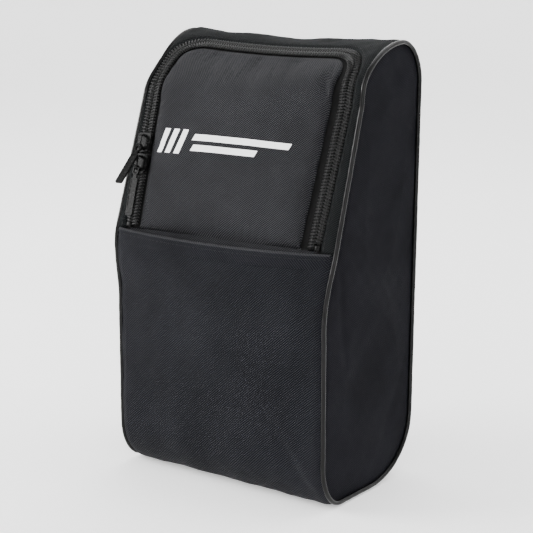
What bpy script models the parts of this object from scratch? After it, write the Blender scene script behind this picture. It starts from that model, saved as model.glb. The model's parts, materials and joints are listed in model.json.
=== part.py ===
"""Golf shoe bag: a soft, standing bag with a padded zip flap above a slip pocket.

Frame: origin on the flat base, in the middle of the width and of the depth. The front faces -Y,
+X is the right-hand side as seen from the front, and +Z is up. Units are metres.

The bag is a long wrap of fabric (front, top, back and base) between two flat side gussets. Every
wrap piece is placed by three numbers: x across the bag, s along the side outline, and d, how far
it stands out from that outline. The outline is the centre line of the piping. That even pattern is
then moved to how the filled bag stands: twisted a little, with its ridge sagging in the middle.
"""

import math

import bmesh
import bpy
import numpy as np
from mathutils import Matrix, Vector

# Side outline, as (y, z) from the front plane and from the lowest point of the piping's centre.
FRONT_SEAM = (0.0250, 0.0)
FRONT_FOOT_HEIGHT = 0.034
FRONT_BEND_START = (0.0, 0.150)
LEAN_START = (0.0070, 0.195)
LEAN_END = (0.0440, 0.304)
RIDGE = (0.1020, 0.343)
SHOULDER = (0.1285, 0.312)
BACK_FOOT = (0.1225, 0.048)
BASE_REAR = (0.0680, 0.0)
BEND_EASE = 0.015  # lengths of the bends' spline handles
DOOR_TOP_EASE = 0.014
RIDGE_EASE = (0.030, 0.016)
SHOULDER_EASE = 0.012
MIDDLE_DEPTH = 0.064  # from the front plane to the middle of the depth

# How the filled bag stands
TWIST_AT_FOOT = -0.004  # how far behind the middle the right seam stands; the left is as far ahead
TWIST_AT_HEM = 0.0045
TWIST_AT_CORNER = 0.0020
TWIST_AT_TOP = -0.006
HEM_TWIST_HEIGHTS = (0.143, 0.199)
DOOR_TWIST_HEIGHTS = (0.199, 0.300)  # changes evenly here, which keeps the zip's legs straight
TOP_TWIST_HEIGHTS = (0.300, 0.331)
TWIST_DEPTHS = (-0.020, 0.060)  # full at the front, none at the back
RIDGE_SAG = 0.0045
SAG_HEIGHTS = (0.300, 0.340)

# Width and fabric
SEAM_HALF_WIDTH = 0.1000  # the piping's centre, from the middle plane
PANEL_HALF_WIDTH = 0.0973
BEAD_RADIUS = 0.0023
GAP = 0.0003
LAYER_GAP = 0.0005  # between layers whose rows differ
PANEL_LOW = 0.0002
PANEL_HIGH = BEAD_RADIUS + GAP
SHEET = 0.0018
GUSSET_THICKNESS = 0.0024
BASE_LIFT = PANEL_HIGH  # lifts the outline so that the base's outer face is at z = 0

# Zip, measured from the middle of the chain: plus is away from the flap
HEM_HEIGHT = 0.1930
FLAP_ABOVE_HEM = 0.0022
ZIP_SHIFT = -0.0022  # the U sits a little to the left
LEG_HALF_WIDTH_AT_HEM = 0.0838
LEG_HALF_WIDTH_AT_BEND = 0.0890
ZIP_TOP_Y = 0.0770
ZIP_CORNER_RADIUS = 0.0270
COIL_SPLIT = 0.0005
COIL_HALF_WIDTH = 0.0049
COIL_LEVELS = (0.0002, 0.0024)
TAPE_HALF_WIDTH = 0.0130
TAPE_LEVELS = (-0.0011, -0.0004)
TAPE_SEAM_LIMIT = 0.0969
PANEL_EDGE = 0.0053
FLAP_EDGE = -0.0075
STOP_LENGTH = 0.0040

# Flap and pocket
FLAP_CROWN = 0.0030
FLAP_FACE_HIGH = 0.0018
FOAM_LOW = -0.0028
FOAM_HIGH = -0.0008
FOAM_EDGE = -0.0136
LINING_LOW = -0.0044
LINING_HIGH = -0.0036
LINING_EDGE = -0.0085
FLAP_AXIS_OUT = 0.0080
POCKET_BOW = 0.0045
MOUTH_BOW = 0.0080
MOUTH_BOW_OVER = 0.0600
POCKET_BOW_FROM = 0.0300
POCKET_BOW_OVER = 0.0500
BACKING_BOW = 0.0050
BACKING_MOUTH_BOW = 0.0030
HEM_BAND = 0.0100
HEM_SKIN = 0.0008

# Sliders and pulls, in each slider's own frame: x across the chain, y up it, z out of the face
SLIDER_HEIGHTS = {"lower": 0.2430, "upper": 0.2590}
SLIDER_LENGTH = 0.0156
SLIDER_HALF_WIDTH = 0.0066
SLIDER_PLATE = (0.0029, 0.0044)
SLIDER_FOOT = (-0.0029, -0.0015)
SLIDER_POST_HALF = 0.0002
SLIDER_FLANGE_IN = 0.0053
SLIDER_FLANGE_LOW = 0.0007
BRIDGE_HALF_LENGTH = 0.0060
BRIDGE_HALF_WIDTH = 0.0013
BRIDGE_LEG = 0.0016
BRIDGE_LOW = SLIDER_PLATE[1] + GAP
BRIDGE_HIGH = 0.0100
BRIDGE_STRAP = 0.0011
BRIDGE_CHAMFER = 0.0012
PIVOT_DOWN = 0.0032
PIVOT_OUT = 0.0076  # high enough for a hanging pull to pass over the pocket's hem
PULL_LENGTH = 0.0400
PULL_HALF_WIDTH = 0.0034
PULL_HALF_THICKNESS = 0.0008
PULL_BAR = 0.0008
PULL_EYE_END = 0.0062
PULL_EYE_HALF_WIDTH = 0.0017
PULL_TIP_HALF_WIDTH = 0.0019
PULL_TIP_LENGTH = 0.0022
PULL_RAISED_DEG = {"lower": 0.0, "upper": 30.0}

# Inside and back
BINDING_INNER = 0.0915
BINDING_OUTER = 0.0969
BINDING_LOW = -0.0060
BINDING_HIGH = -0.0044
BOARD_HALF_WIDTH = 0.0895
BOARD_FRONT = 0.0210
BOARD_BACK = 0.0830
BOARD_LOW = 0.0070
BOARD_THICKNESS = 0.0018
HANDLE_HEIGHT = 0.2850
HANDLE_WEBBING = 0.0250
HANDLE_THICKNESS = 0.0020
HANDLE_HALF_SPAN = 0.0750
HANDLE_END = 0.0280
HANDLE_BOW = 0.0240
HANDLE_ARCH = 0.6  # under 1 makes the arch fuller
HANDLE_SEGMENTS = 16
BOARD_CORNER = 0.0080

# Fineness of the surfaces
SPLINE_STEPS = 40
OUTLINE_STEP = 0.003
ROW_TURN = math.radians(9.0)
ROW_LENGTH = 0.016
LEAST_ROW = 0.0015
FINE_COLUMNS = 8
COARSE_COLUMNS = 4
CORNER_STEPS = 6
SMOOTH_ANGLE = math.radians(35)


# ---------------------------------------------------------------- side outline
def arc(centre, radii, start_deg, end_deg):
    """Points of an axis-aligned ellipse's arc."""
    angles = np.radians(np.linspace(start_deg, end_deg, SPLINE_STEPS))
    return [(centre[0] + radii[0] * math.cos(a), centre[1] + radii[1] * math.sin(a)) for a in angles]


def bezier(start, pull_start, pull_end, end):
    """Points of a cubic from start to end, with its handles given as offsets from its ends."""
    p0, p3 = np.array(start), np.array(end)
    p1, p2 = p0 + pull_start, p3 - np.array(pull_end)
    return [
        tuple((1 - t) ** 3 * p0 + 3 * t * (1 - t) ** 2 * p1 + 3 * t * t * (1 - t) * p2 + t**3 * p3)
        for t in np.linspace(0, 1, SPLINE_STEPS)
    ]


def side_outline():
    """The closed side outline, from the seam under the front, up the front and round to the base."""
    lean = np.array(LEAN_END) - LEAN_START
    lean = lean / np.linalg.norm(lean)
    back = np.array(BACK_FOOT) - SHOULDER
    back = back / np.linalg.norm(back)
    foot_centre = (FRONT_SEAM[0], FRONT_FOOT_HEIGHT)
    points = arc(foot_centre, (FRONT_SEAM[0], FRONT_FOOT_HEIGHT), 270, 180)
    points += bezier(FRONT_BEND_START, (0.0, BEND_EASE), BEND_EASE * lean, LEAN_START)
    points += bezier(LEAN_END, DOOR_TOP_EASE * lean, (RIDGE_EASE[0], 0.0), RIDGE)
    points += bezier(RIDGE, (RIDGE_EASE[1], 0.0), SHOULDER_EASE * back, SHOULDER)
    rear_centre = (BASE_REAR[0], BACK_FOOT[1])
    points += arc(rear_centre, (BACK_FOOT[0] - BASE_REAR[0], BACK_FOOT[1]), 0, -90)
    points.append(FRONT_SEAM)
    kept = [points[0]]
    for point in points[1:]:
        steps = math.ceil(math.dist(point, kept[-1]) / OUTLINE_STEP)
        kept += [tuple(p) for p in np.linspace(kept[-1], point, steps + 1)[1:]]
    return np.array(kept) + (-MIDDLE_DEPTH, BASE_LIFT)


class Outline:
    """The side outline read by the distance s along it."""

    def __init__(self):
        self.points = side_outline()
        steps = np.diff(self.points, axis=0)
        lengths = np.linalg.norm(steps, axis=1)
        self.s = np.concatenate([[0], np.cumsum(lengths)])
        self.length = self.s[-1]
        heading = np.unwrap(np.arctan2(steps[:, 1], steps[:, 0]))
        middle = (self.s[1:] + self.s[:-1]) / 2
        self.heading = np.interp(self.s, middle, heading)
        self.heading[-1] = self.heading[0] - 2 * math.pi

    def point(self, s):
        return np.array([np.interp(s, self.s, self.points[:, i]) for i in (0, 1)])

    def normal(self, s):
        turn = np.interp(s, self.s, self.heading)
        return np.array([-math.sin(turn), math.cos(turn)])

    def at_height(self, z, rising=True):
        """s where the front, or the back, passes the height z above the floor."""
        top = int(np.argmax(self.points[:, 1]))
        side = slice(0, top + 1) if rising else slice(top, len(self.s))
        heights, places = self.points[side, 1], self.s[side]
        order = np.argsort(heights)
        return float(np.interp(z, heights[order], places[order]))

    def at_depth_over_top(self, y):
        """s where the top passes the depth y behind the front plane."""
        bend = self.at_height(LEAN_END[1] + BASE_LIFT)
        inside = (self.s >= bend) & (self.s <= self.at_height(SHOULDER[1] + BASE_LIFT, False))
        return float(np.interp(y - MIDDLE_DEPTH, self.points[inside, 0], self.s[inside]))

    def stations(self):
        """Places shared by every wrap piece: one for each bit of turn or length, and the flat's rear."""
        flat_rear = self.length - (BASE_REAR[0] - FRONT_SEAM[0])
        found, turned = [0.0], 0.0
        for i in range(1, len(self.s)):
            turned += abs(self.heading[i] - self.heading[i - 1])
            at_flat = math.isclose(self.s[i], flat_rear, abs_tol=GAP)
            if at_flat or turned > ROW_TURN or self.s[i] - found[-1] > ROW_LENGTH:
                found.append(float(self.s[i]))
                turned = 0.0
        return found


OUTLINE = Outline()
STATIONS = OUTLINE.stations()
S_HEM = OUTLINE.at_height(HEM_HEIGHT + BASE_LIFT)
S_FLAP = S_HEM + FLAP_ABOVE_HEM
S_BEND = OUTLINE.at_height(LEAN_END[1] + BASE_LIFT)
S_ZIP_TOP = OUTLINE.at_depth_over_top(ZIP_TOP_Y)
S_CORNER = S_ZIP_TOP - ZIP_CORNER_RADIUS
S_BACK = OUTLINE.at_height(SHOULDER[1] + BASE_LIFT, rising=False)
S_REAR = OUTLINE.at_height(BACK_FOOT[1] + BASE_LIFT, rising=False)


def rows(start, end):
    """The shared stations between two places, with both ends."""
    inner = [s for s in STATIONS if start + LEAST_ROW < s < end - LEAST_ROW]
    return [start, *inner, end]


def ease(ends, value):
    """0 before the first end and 1 after the second, with a smooth change between them."""
    share = np.clip((value - ends[0]) / (ends[1] - ends[0]), 0, 1)
    return share * share * (3 - 2 * share)


def stand(x, y, z):
    """Moves a point of the even pattern to where it is on the filled, standing bag."""
    share = x / SEAM_HALF_WIDTH
    twist = TWIST_AT_FOOT + (TWIST_AT_HEM - TWIST_AT_FOOT) * ease(HEM_TWIST_HEIGHTS, z)
    twist += np.interp(z, DOOR_TWIST_HEIGHTS, (0, TWIST_AT_CORNER - TWIST_AT_HEM))
    twist += (TWIST_AT_TOP - TWIST_AT_CORNER) * ease(TOP_TWIST_HEIGHTS, z)
    sag = RIDGE_SAG * (1 - share * share) * ease(SAG_HEIGHTS, z)
    return Vector((x, y + share * twist * (1 - ease(TWIST_DEPTHS, y)), z - sag))


def place(x, s, d):
    """The point at x, at s along the outline and d outside it."""
    y, z = OUTLINE.point(s) + d * OUTLINE.normal(s)
    return stand(x, y, z)


# ---------------------------------------------------------------- zip path
def leg_half_width(s):
    share = np.clip((s - S_HEM) / (S_BEND - S_HEM), 0, 1)
    return LEG_HALF_WIDTH_AT_HEM + share * (LEG_HALF_WIDTH_AT_BEND - LEG_HALF_WIDTH_AT_HEM)


def corner_points(offset):
    """(half width, s) round the zip path's top corner, shifted outwards by offset."""
    middle = LEG_HALF_WIDTH_AT_BEND - ZIP_CORNER_RADIUS
    radius = ZIP_CORNER_RADIUS + offset
    angles = np.radians(np.linspace(0, 90, CORNER_STEPS + 1)[1:])
    return [(middle + radius * math.cos(a), S_CORNER + radius * math.sin(a)) for a in angles]


def half_path(offset, start):
    """(half width, s) up one leg and round its corner, to where the top run begins."""
    legs = [(leg_half_width(s) + offset, s) for s in rows(start, S_CORNER)]
    return legs + corner_points(offset)


def whole_path(offset, start):
    """(x, s) up the left leg, across the top and down the right leg."""
    half = half_path(offset, start)
    end, s_top = half[-1]
    left = [(ZIP_SHIFT - x, s) for x, s in half]
    top = [(ZIP_SHIFT + x, s_top) for x in np.linspace(-end, end, COARSE_COLUMNS + 1)[1:-1]]
    right = [(ZIP_SHIFT + x, s) for x, s in half[::-1]]
    return left + top + right


# ---------------------------------------------------------------- building blocks
def fabric(name, colour, roughness=0.9, metallic=0.0):
    material = bpy.data.materials.new(name)
    material.use_nodes = True
    shader = material.node_tree.nodes["Principled BSDF"]
    shader.inputs["Base Color"].default_value = (*colour, 1.0)
    shader.inputs["Roughness"].default_value = roughness
    shader.inputs["Metallic"].default_value = metallic
    material.diffuse_color = (*colour, 1.0)
    return material


def finish(name, bm, material, matrix=None):
    """Makes a named object of a closed bmesh whose points are in world space, or in matrix's."""
    bmesh.ops.recalc_face_normals(bm, faces=bm.faces)
    mesh = bpy.data.meshes.new(name)
    bm.to_mesh(mesh)
    bm.free()
    mesh.shade_smooth()
    mesh.set_sharp_from_angle(angle=SMOOTH_ANGLE)
    mesh.materials.append(material)
    obj = bpy.data.objects.new(name, mesh)
    if matrix is not None:
        obj.matrix_world = matrix
    bpy.context.scene.collection.objects.link(obj)
    return obj


def close_between(bm, top, bottom, cells):
    """Faces over and under a grid's cells, with walls along every edge that only one cell has."""
    sides = {}
    for cell in cells:
        bm.faces.new([top[key] for key in cell])
        bm.faces.new([bottom[key] for key in reversed(cell)])
        for a, b in zip(cell, cell[1:] + cell[:1]):
            sides.setdefault(frozenset((a, b)), []).append((a, b))
    for uses in sides.values():
        if len(uses) == 1:
            a, b = uses[0]
            bm.faces.new([top[b], top[a], bottom[a], bottom[b]])


def sheet(name, material, places, cells, low, high, crown=None):
    """A fabric layer between the offsets low and high, from (x, s) places and the cells they span."""
    crown = crown or (lambda x, s: (0.0, 0.0))
    bm = bmesh.new()
    used = {key for cell in cells for key in cell}
    top, bottom = {}, {}
    for key in sorted(used):
        x, s = places[key]
        under, over = crown(x, s)
        top[key] = bm.verts.new(place(x, s, high + over))
        bottom[key] = bm.verts.new(place(x, s, low + under))
    close_between(bm, top, bottom, cells)
    return finish(name, bm, material)


def grid(name, material, lines, low, high, crown=None, absent=None):
    """A sheet from rows of (x, s) points. absent(i, j) leaves out the cell after row i, column j."""
    places = {(i, j): point for i, line in enumerate(lines) for j, point in enumerate(line)}
    cells = [
        [(i, j), (i, j + 1), (i + 1, j + 1), (i + 1, j)]
        for i in range(len(lines) - 1)
        for j in range(len(lines[0]) - 1)
        if not (absent and absent(i, j))
    ]
    return sheet(name, material, places, cells, low, high, crown)


def ribbon(name, material, span, levels, start):
    """A strip that follows the zip path between two offsets from the chain's middle."""
    lines = [
        [(float(np.clip(x, -TAPE_SEAM_LIMIT, TAPE_SEAM_LIMIT)), s) for x, s in whole_path(offset, start)]
        for offset in span
    ]
    return grid(name, material, lines, *levels)


def prism(outline, half_length, axes):
    """A closed bmesh from a 2-D outline pushed both ways along the third axis."""
    bm = bmesh.new()
    ends = []
    for along in (-half_length, half_length):
        ring = []
        for a, b in outline:
            point = [0.0, 0.0, 0.0]
            point[axes[0]], point[axes[1]] = a, b
            point[3 - axes[0] - axes[1]] = along
            ring.append(bm.verts.new(point))
        ends.append(ring)
    bm.faces.new(ends[0])
    bm.faces.new(ends[1][::-1])
    for i in range(len(outline)):
        j = (i + 1) % len(outline)
        bm.faces.new([ends[0][j], ends[0][i], ends[1][i], ends[1][j]])
    return bm


# ---------------------------------------------------------------- shell of the bag
def across(s, columns):
    return [(float(x), s) for x in np.linspace(-PANEL_HALF_WIDTH, PANEL_HALF_WIDTH, columns + 1)]


def pocket_crown(x, s):
    """The pocket's front stands out from the side seams, and most at its open top."""
    rise = np.clip((s - POCKET_BOW_FROM) / POCKET_BOW_OVER, 0, 1)
    opening = np.clip((s - S_HEM + MOUTH_BOW_OVER) / MOUTH_BOW_OVER, 0, 1)
    most = POCKET_BOW * rise + (MOUTH_BOW - POCKET_BOW) * opening
    bow = most * (1 - (x / PANEL_HALF_WIDTH) ** 2)
    return bow, bow


def backing_crown(x, s):
    """The wall behind the pocket sinks in between its seams, and less at the hem."""
    opening = np.clip((s - S_HEM + MOUTH_BOW_OVER) / MOUTH_BOW_OVER, 0, 1)
    rise = np.clip((s - POCKET_BOW_FROM) / POCKET_BOW_OVER, 0, 1)
    most = BACKING_BOW * rise + (BACKING_MOUTH_BOW - BACKING_BOW) * opening
    sink = -most * (1 - (x / PANEL_HALF_WIDTH) ** 2)
    return sink, sink


def flap_crown(x, s):
    """The padding lifts the flap's face in its middle."""
    across_share = 1 - (x / LEG_HALF_WIDTH_AT_BEND) ** 2
    up_share = math.sin(math.pi * np.clip((s - S_FLAP) / (S_ZIP_TOP - S_FLAP), 0, 1))
    lift = FLAP_CROWN * across_share * up_share
    return lift, lift


def make_pocket(material, hem_material):
    lines = [across(s, FINE_COLUMNS) for s in rows(GAP, S_HEM)]
    grid("pocket_panel", material, lines, PANEL_LOW, PANEL_HIGH, pocket_crown)
    make_hem_binding(hem_material)


def make_hem_binding(material):
    """A folded tape over the pocket's top edge: a U of one thickness, swept across the bag."""
    inner, outer = PANEL_LOW - LAYER_GAP, PANEL_HIGH + LAYER_GAP
    section = [
        (S_HEM - HEM_BAND, outer),
        (S_HEM + GAP, outer),
        (S_HEM + GAP, inner),
        (S_HEM - HEM_BAND, inner),
        (S_HEM - HEM_BAND, inner - HEM_SKIN),
        (S_HEM + GAP + HEM_SKIN, inner - HEM_SKIN),
        (S_HEM + GAP + HEM_SKIN, outer + HEM_SKIN),
        (S_HEM - HEM_BAND, outer + HEM_SKIN),
    ]
    bm = bmesh.new()
    rings = []
    half_width = PANEL_HALF_WIDTH - HEM_SKIN
    for x in np.linspace(-half_width, half_width, FINE_COLUMNS + 1):
        ring = [place(x, s, d + pocket_crown(x, min(s, S_HEM))[0]) for s, d in section]
        rings.append([bm.verts.new(point) for point in ring])
    for one, other in zip(rings, rings[1:]):
        for i in range(len(section)):
            j = (i + 1) % len(section)
            bm.faces.new([one[i], one[j], other[j], other[i]])
    bm.faces.new(rings[0][::-1])
    bm.faces.new(rings[-1])
    finish("pocket_hem_binding", bm, material)


def make_front_panel(material):
    """The wall behind the pocket. It stands behind the hem binding's inner leg."""
    lines = [across(s, FINE_COLUMNS) for s in rows(GAP, S_HEM)]
    high = PANEL_LOW - LAYER_GAP - HEM_SKIN - LAYER_GAP
    grid("front_panel", material, lines, high - SHEET, high, backing_crown)


def make_surround(material):
    """Side strips beside the zip and the top over it, in one piece with a U cut out of it."""
    half = half_path(PANEL_EDGE, S_FLAP)
    cut_end, s_cut = half[-1]
    above = rows(s_cut, S_BACK)[1:]
    lines = []
    for edge, s in half + [(cut_end, s) for s in above]:
        left, right = ZIP_SHIFT - edge, ZIP_SHIFT + edge
        left_side = [-PANEL_HALF_WIDTH, (left - PANEL_HALF_WIDTH) / 2, left]
        right_side = [right, (right + PANEL_HALF_WIDTH) / 2, PANEL_HALF_WIDTH]
        centre = [ZIP_SHIFT - cut_end / 2, ZIP_SHIFT, ZIP_SHIFT + cut_end / 2]
        lines.append([(x, s) for x in left_side + centre + right_side])
    open_rows = len(half) - 1

    def absent(i, j):
        return i < open_rows and 2 <= j <= 5

    grid("surround_panel", material, lines, PANEL_LOW, PANEL_HIGH, absent=absent)


def make_back_and_base(material, base_material):
    lines = [across(s, COARSE_COLUMNS) for s in rows(S_BACK + GAP, S_REAR)]
    grid("back_panel", material, lines, PANEL_LOW, PANEL_HIGH)
    lines = [across(s, COARSE_COLUMNS) for s in rows(S_REAR + GAP, OUTLINE.length - GAP)]
    grid("base_panel", base_material, lines, PANEL_LOW, PANEL_HIGH)


def loop_stations():
    """The shared stations once round, without the repeat of the first at the end."""
    return [s for s in STATIONS if s < OUTLINE.length - LEAST_ROW]


def make_gusset(side, material):
    """A flat side wall inside the piping."""
    inset = -(BEAD_RADIUS + GAP)
    ring = [place(side * SEAM_HALF_WIDTH, s, inset) for s in loop_stations()]
    middle = PANEL_HALF_WIDTH + GUSSET_THICKNESS / 2
    bm = prism([(p.y, p.z) for p in ring], GUSSET_THICKNESS / 2, (1, 2))
    bmesh.ops.translate(bm, verts=bm.verts, vec=(side * middle, 0, 0))
    finish(f"{'left' if side < 0 else 'right'}_gusset", bm, material)


def make_piping(side, material):
    """The corded edge, a closed tube round the whole outline."""
    name = f"{'left' if side < 0 else 'right'}_piping"
    curve = bpy.data.curves.new(name, "CURVE")
    curve.dimensions = "3D"
    curve.bevel_depth = BEAD_RADIUS
    curve.bevel_resolution = 2
    spline = curve.splines.new("POLY")
    stations = loop_stations()
    spline.points.add(len(stations) - 1)
    for point, s in zip(spline.points, stations):
        point.co = (*place(side * SEAM_HALF_WIDTH, s, 0.0), 1.0)
    spline.use_cyclic_u = True
    curve.materials.append(material)
    obj = bpy.data.objects.new(name, curve)
    bpy.context.scene.collection.objects.link(obj)


def make_seam_binding(side, material):
    """Tape that binds the raw edges inside, along one side seam."""
    corners = [
        (BINDING_INNER, BINDING_LOW),
        (BINDING_OUTER, BINDING_LOW),
        (BINDING_OUTER, BINDING_HIGH),
        (BINDING_INNER, BINDING_HIGH),
    ]
    bm = bmesh.new()
    rings = [[bm.verts.new(place(side * x, s, d)) for x, d in corners] for s in loop_stations()]
    for one, other in zip(rings, rings[1:] + rings[:1]):
        for i in range(4):
            j = (i + 1) % 4
            bm.faces.new([one[i], one[j], other[j], other[i]])
    finish(f"{'left' if side < 0 else 'right'}_seam_binding", bm, material)


def make_base_board(material):
    """A stiffening board that lies loose on the base, with rounded corners."""
    low = (-BOARD_HALF_WIDTH, BOARD_FRONT - MIDDLE_DEPTH)
    high = (BOARD_HALF_WIDTH, BOARD_BACK - MIDDLE_DEPTH)
    outline = [(low[0], low[1]), (high[0], low[1]), (high[0], high[1]), (low[0], high[1])]
    bm = prism(outline, BOARD_THICKNESS / 2, (0, 1))
    upright = [e for e in bm.edges if abs(e.verts[0].co.z - e.verts[1].co.z) > GAP]
    bmesh.ops.bevel(bm, geom=upright, offset=BOARD_CORNER, segments=3, affect="EDGES")
    bmesh.ops.translate(bm, verts=bm.verts, vec=(0, 0, BOARD_LOW + BOARD_THICKNESS / 2))
    for vert in bm.verts:
        vert.co = stand(*vert.co)
    finish("base_board", bm, material)


def make_handle(material):
    """A webbing grab handle across the top of the back, sewn down at both ends."""
    s_middle = OUTLINE.at_height(HANDLE_HEIGHT + BASE_LIFT, rising=False)
    free = HANDLE_HALF_SPAN - HANDLE_END
    stops = [-HANDLE_HALF_SPAN, *np.linspace(-free, free, HANDLE_SEGMENTS + 1), HANDLE_HALF_SPAN]
    edges = (s_middle - HANDLE_WEBBING / 2, s_middle + HANDLE_WEBBING / 2)
    lines = [[(float(x), s) for x in stops] for s in edges]

    def bow(x, _):
        wave = 0.5 + 0.5 * math.cos(math.pi * min(abs(x) / free, 1))
        lift = HANDLE_BOW * wave**HANDLE_ARCH
        return lift, lift

    low = PANEL_HIGH + GAP
    grid("carry_handle", material, lines, low, low + HANDLE_THICKNESS, bow)


# ---------------------------------------------------------------- flap and zip
def flap_lines(offset):
    return [
        [(float(ZIP_SHIFT + edge * share), s) for share in np.linspace(-1, 1, FINE_COLUMNS + 1)]
        for edge, s in half_path(offset, S_FLAP)
    ]


def make_flap(face_material, foam_material, lining_material):
    """The padded door: outer cloth, foam inside the zip tape, and a lining."""
    face_lines = flap_lines(FLAP_EDGE)
    foam_lines = flap_lines(FOAM_EDGE)
    lining_lines = flap_lines(LINING_EDGE)

    def foam_crown(x, s):
        return 0.0, flap_crown(x, s)[1]

    return [
        grid("flap_panel", face_material, face_lines, PANEL_LOW, FLAP_FACE_HIGH, flap_crown),
        grid("flap_foam", foam_material, foam_lines, FOAM_LOW, FOAM_HIGH, foam_crown),
        grid("flap_lining", lining_material, lining_lines, LINING_LOW, LINING_HIGH),
    ]


def make_zip(tape_material, coil_material, stop_material):
    """Two tapes, each with its row of coil, and the stops at the legs' feet. Returns the flap's half."""
    tape_outer, tape_inner = (COIL_SPLIT, TAPE_HALF_WIDTH), (-TAPE_HALF_WIDTH, -COIL_SPLIT)
    coil_outer, coil_inner = (COIL_SPLIT, COIL_HALF_WIDTH), (-COIL_HALF_WIDTH, -COIL_SPLIT)
    above_stop = S_FLAP + STOP_LENGTH + GAP
    ribbon("zip_tape_outer", tape_material, tape_outer, TAPE_LEVELS, S_FLAP)
    ribbon("zip_coil_outer", coil_material, coil_outer, COIL_LEVELS, above_stop)
    for side, name in ((-1, "left_zip_stop"), (1, "right_zip_stop")):
        lines = [
            [(ZIP_SHIFT + side * (leg_half_width(s) + offset), s) for offset in coil_outer]
            for s in (S_FLAP, S_FLAP + STOP_LENGTH)
        ]
        grid(name, stop_material, lines, *COIL_LEVELS)
    return [
        ribbon("zip_tape_inner", tape_material, tape_inner, TAPE_LEVELS, S_FLAP),
        ribbon("zip_coil_inner", coil_material, coil_inner, COIL_LEVELS, S_FLAP),
    ]


def slider_frame(height):
    """A slider's frame on the left leg: x across towards the flap, y up the leg, z out of the face."""
    s = OUTLINE.at_height(height + BASE_LIFT)
    ends = (s - SLIDER_LENGTH / 2, s + SLIDER_LENGTH / 2)
    below, above = (place(ZIP_SHIFT - leg_half_width(t), t, 0.0) for t in ends)
    centre = ZIP_SHIFT - leg_half_width(s)
    sides = (centre - SLIDER_HALF_WIDTH, centre + SLIDER_HALF_WIDTH)
    left, right = (place(x, s, 0.0) for x in sides)
    up = (above - below).normalized()
    out = (right - left).cross(up).normalized()
    turn = Matrix((up.cross(out), up, out)).transposed().to_4x4()
    return Matrix.Translation(place(centre, s, 0.0)) @ turn


def make_slider(which, frame, material):
    """Top plate over both rows, flange and half foot on the flap's side, joined by a thin wedge."""
    wide, wedge = SLIDER_HALF_WIDTH, SLIDER_POST_HALF
    low, high = SLIDER_PLATE
    foot_low, foot_high = SLIDER_FOOT
    section = [
        (-wide, low),
        (-wedge, low),
        (-wedge, foot_low),
        (wide, foot_low),
        (wide, foot_high),
        (wedge, foot_high),
        (wedge, low),
        (SLIDER_FLANGE_IN, low),
        (SLIDER_FLANGE_IN, SLIDER_FLANGE_LOW),
        (wide, SLIDER_FLANGE_LOW),
        (wide, high),
        (-wide, high),
    ]
    bm = prism(section, SLIDER_LENGTH / 2, (0, 2))
    return finish(f"{which}_slider", bm, material, frame)


def make_bridge(which, frame, material):
    """The arch on the slider that holds its pull."""
    far, near = BRIDGE_HALF_LENGTH, BRIDGE_HALF_LENGTH - BRIDGE_LEG
    under = BRIDGE_HIGH - BRIDGE_STRAP
    outline = [
        (-far, BRIDGE_LOW),
        (-near, BRIDGE_LOW),
        (-near, under),
        (near, under),
        (near, BRIDGE_LOW),
        (far, BRIDGE_LOW),
        (far, BRIDGE_HIGH - BRIDGE_CHAMFER),
        (far - BRIDGE_CHAMFER, BRIDGE_HIGH),
        (BRIDGE_CHAMFER - far, BRIDGE_HIGH),
        (-far, BRIDGE_HIGH - BRIDGE_CHAMFER),
    ]
    bm = prism(outline, BRIDGE_HALF_WIDTH, (1, 2))
    return finish(f"{which}_slider_bridge", bm, material, frame)


def make_pull(which, frame, material):
    """A long flat tab whose eye bar turns under the bridge. Its origin is on that bar's axis."""
    raised = math.radians(PULL_RAISED_DEG[which])
    pivot = Matrix.Translation((0, -PIVOT_DOWN, PIVOT_OUT)) @ Matrix.Rotation(-raised, 4, "X")
    wide, tip, eye = PULL_HALF_WIDTH, PULL_TIP_HALF_WIDTH, PULL_EYE_HALF_WIDTH
    tip_start = PULL_TIP_LENGTH - PULL_LENGTH
    outside = [
        (-wide, PULL_BAR),
        (-wide, tip_start),
        (-tip, -PULL_LENGTH),
        (tip, -PULL_LENGTH),
        (wide, tip_start),
        (wide, PULL_BAR),
    ]
    inside = [(-eye, -PULL_BAR), (-eye, -PULL_EYE_END), (eye, -PULL_EYE_END), (eye, -PULL_BAR)]
    bm = bmesh.new()
    levels = []
    for z in (-PULL_HALF_THICKNESS, PULL_HALF_THICKNESS):
        ring = [bm.verts.new((x, y, z)) for x, y in outside]
        hole = [bm.verts.new((x, y, z)) for x, y in inside]
        edges = []
        for line in (ring, hole):
            edges += [bm.edges.new((a, b)) for a, b in zip(line, line[1:] + line[:1])]
        bmesh.ops.triangle_fill(bm, use_beauty=True, edges=edges)
        levels.append((ring, hole))
    for low, high in zip(*levels):
        for i in range(len(low)):
            j = (i + 1) % len(low)
            bm.faces.new([low[i], low[j], high[j], high[i]])
    return finish(f"{which}_pull", bm, material, frame @ pivot)


def make_hinge_line():
    """An empty whose X axis is the line that the flap turns about, in front of its lower edge."""
    ends = (-SEAM_HALF_WIDTH, SEAM_HALF_WIDTH)
    left, right = (place(x, S_FLAP, FLAP_AXIS_OUT) for x in ends)
    along = (right - left).normalized()
    upright = Vector((0, 0, 1))
    turn = Matrix((along, upright.cross(along), upright)).transposed().to_4x4()
    hinge = bpy.data.objects.new("flap_hinge", None)
    hinge.empty_display_size = SEAM_HALF_WIDTH
    hinge.matrix_world = Matrix.Translation(place(0.0, S_FLAP, FLAP_AXIS_OUT)) @ turn
    bpy.context.scene.collection.objects.link(hinge)
    return hinge


def hang(parent, children):
    """Parents the children without moving them."""
    for child in children:
        child.parent = parent
        child.matrix_parent_inverse = parent.matrix_world.inverted()


def clear_scene():
    for obj in list(bpy.data.objects):
        bpy.data.objects.remove(obj, do_unlink=True)


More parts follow.
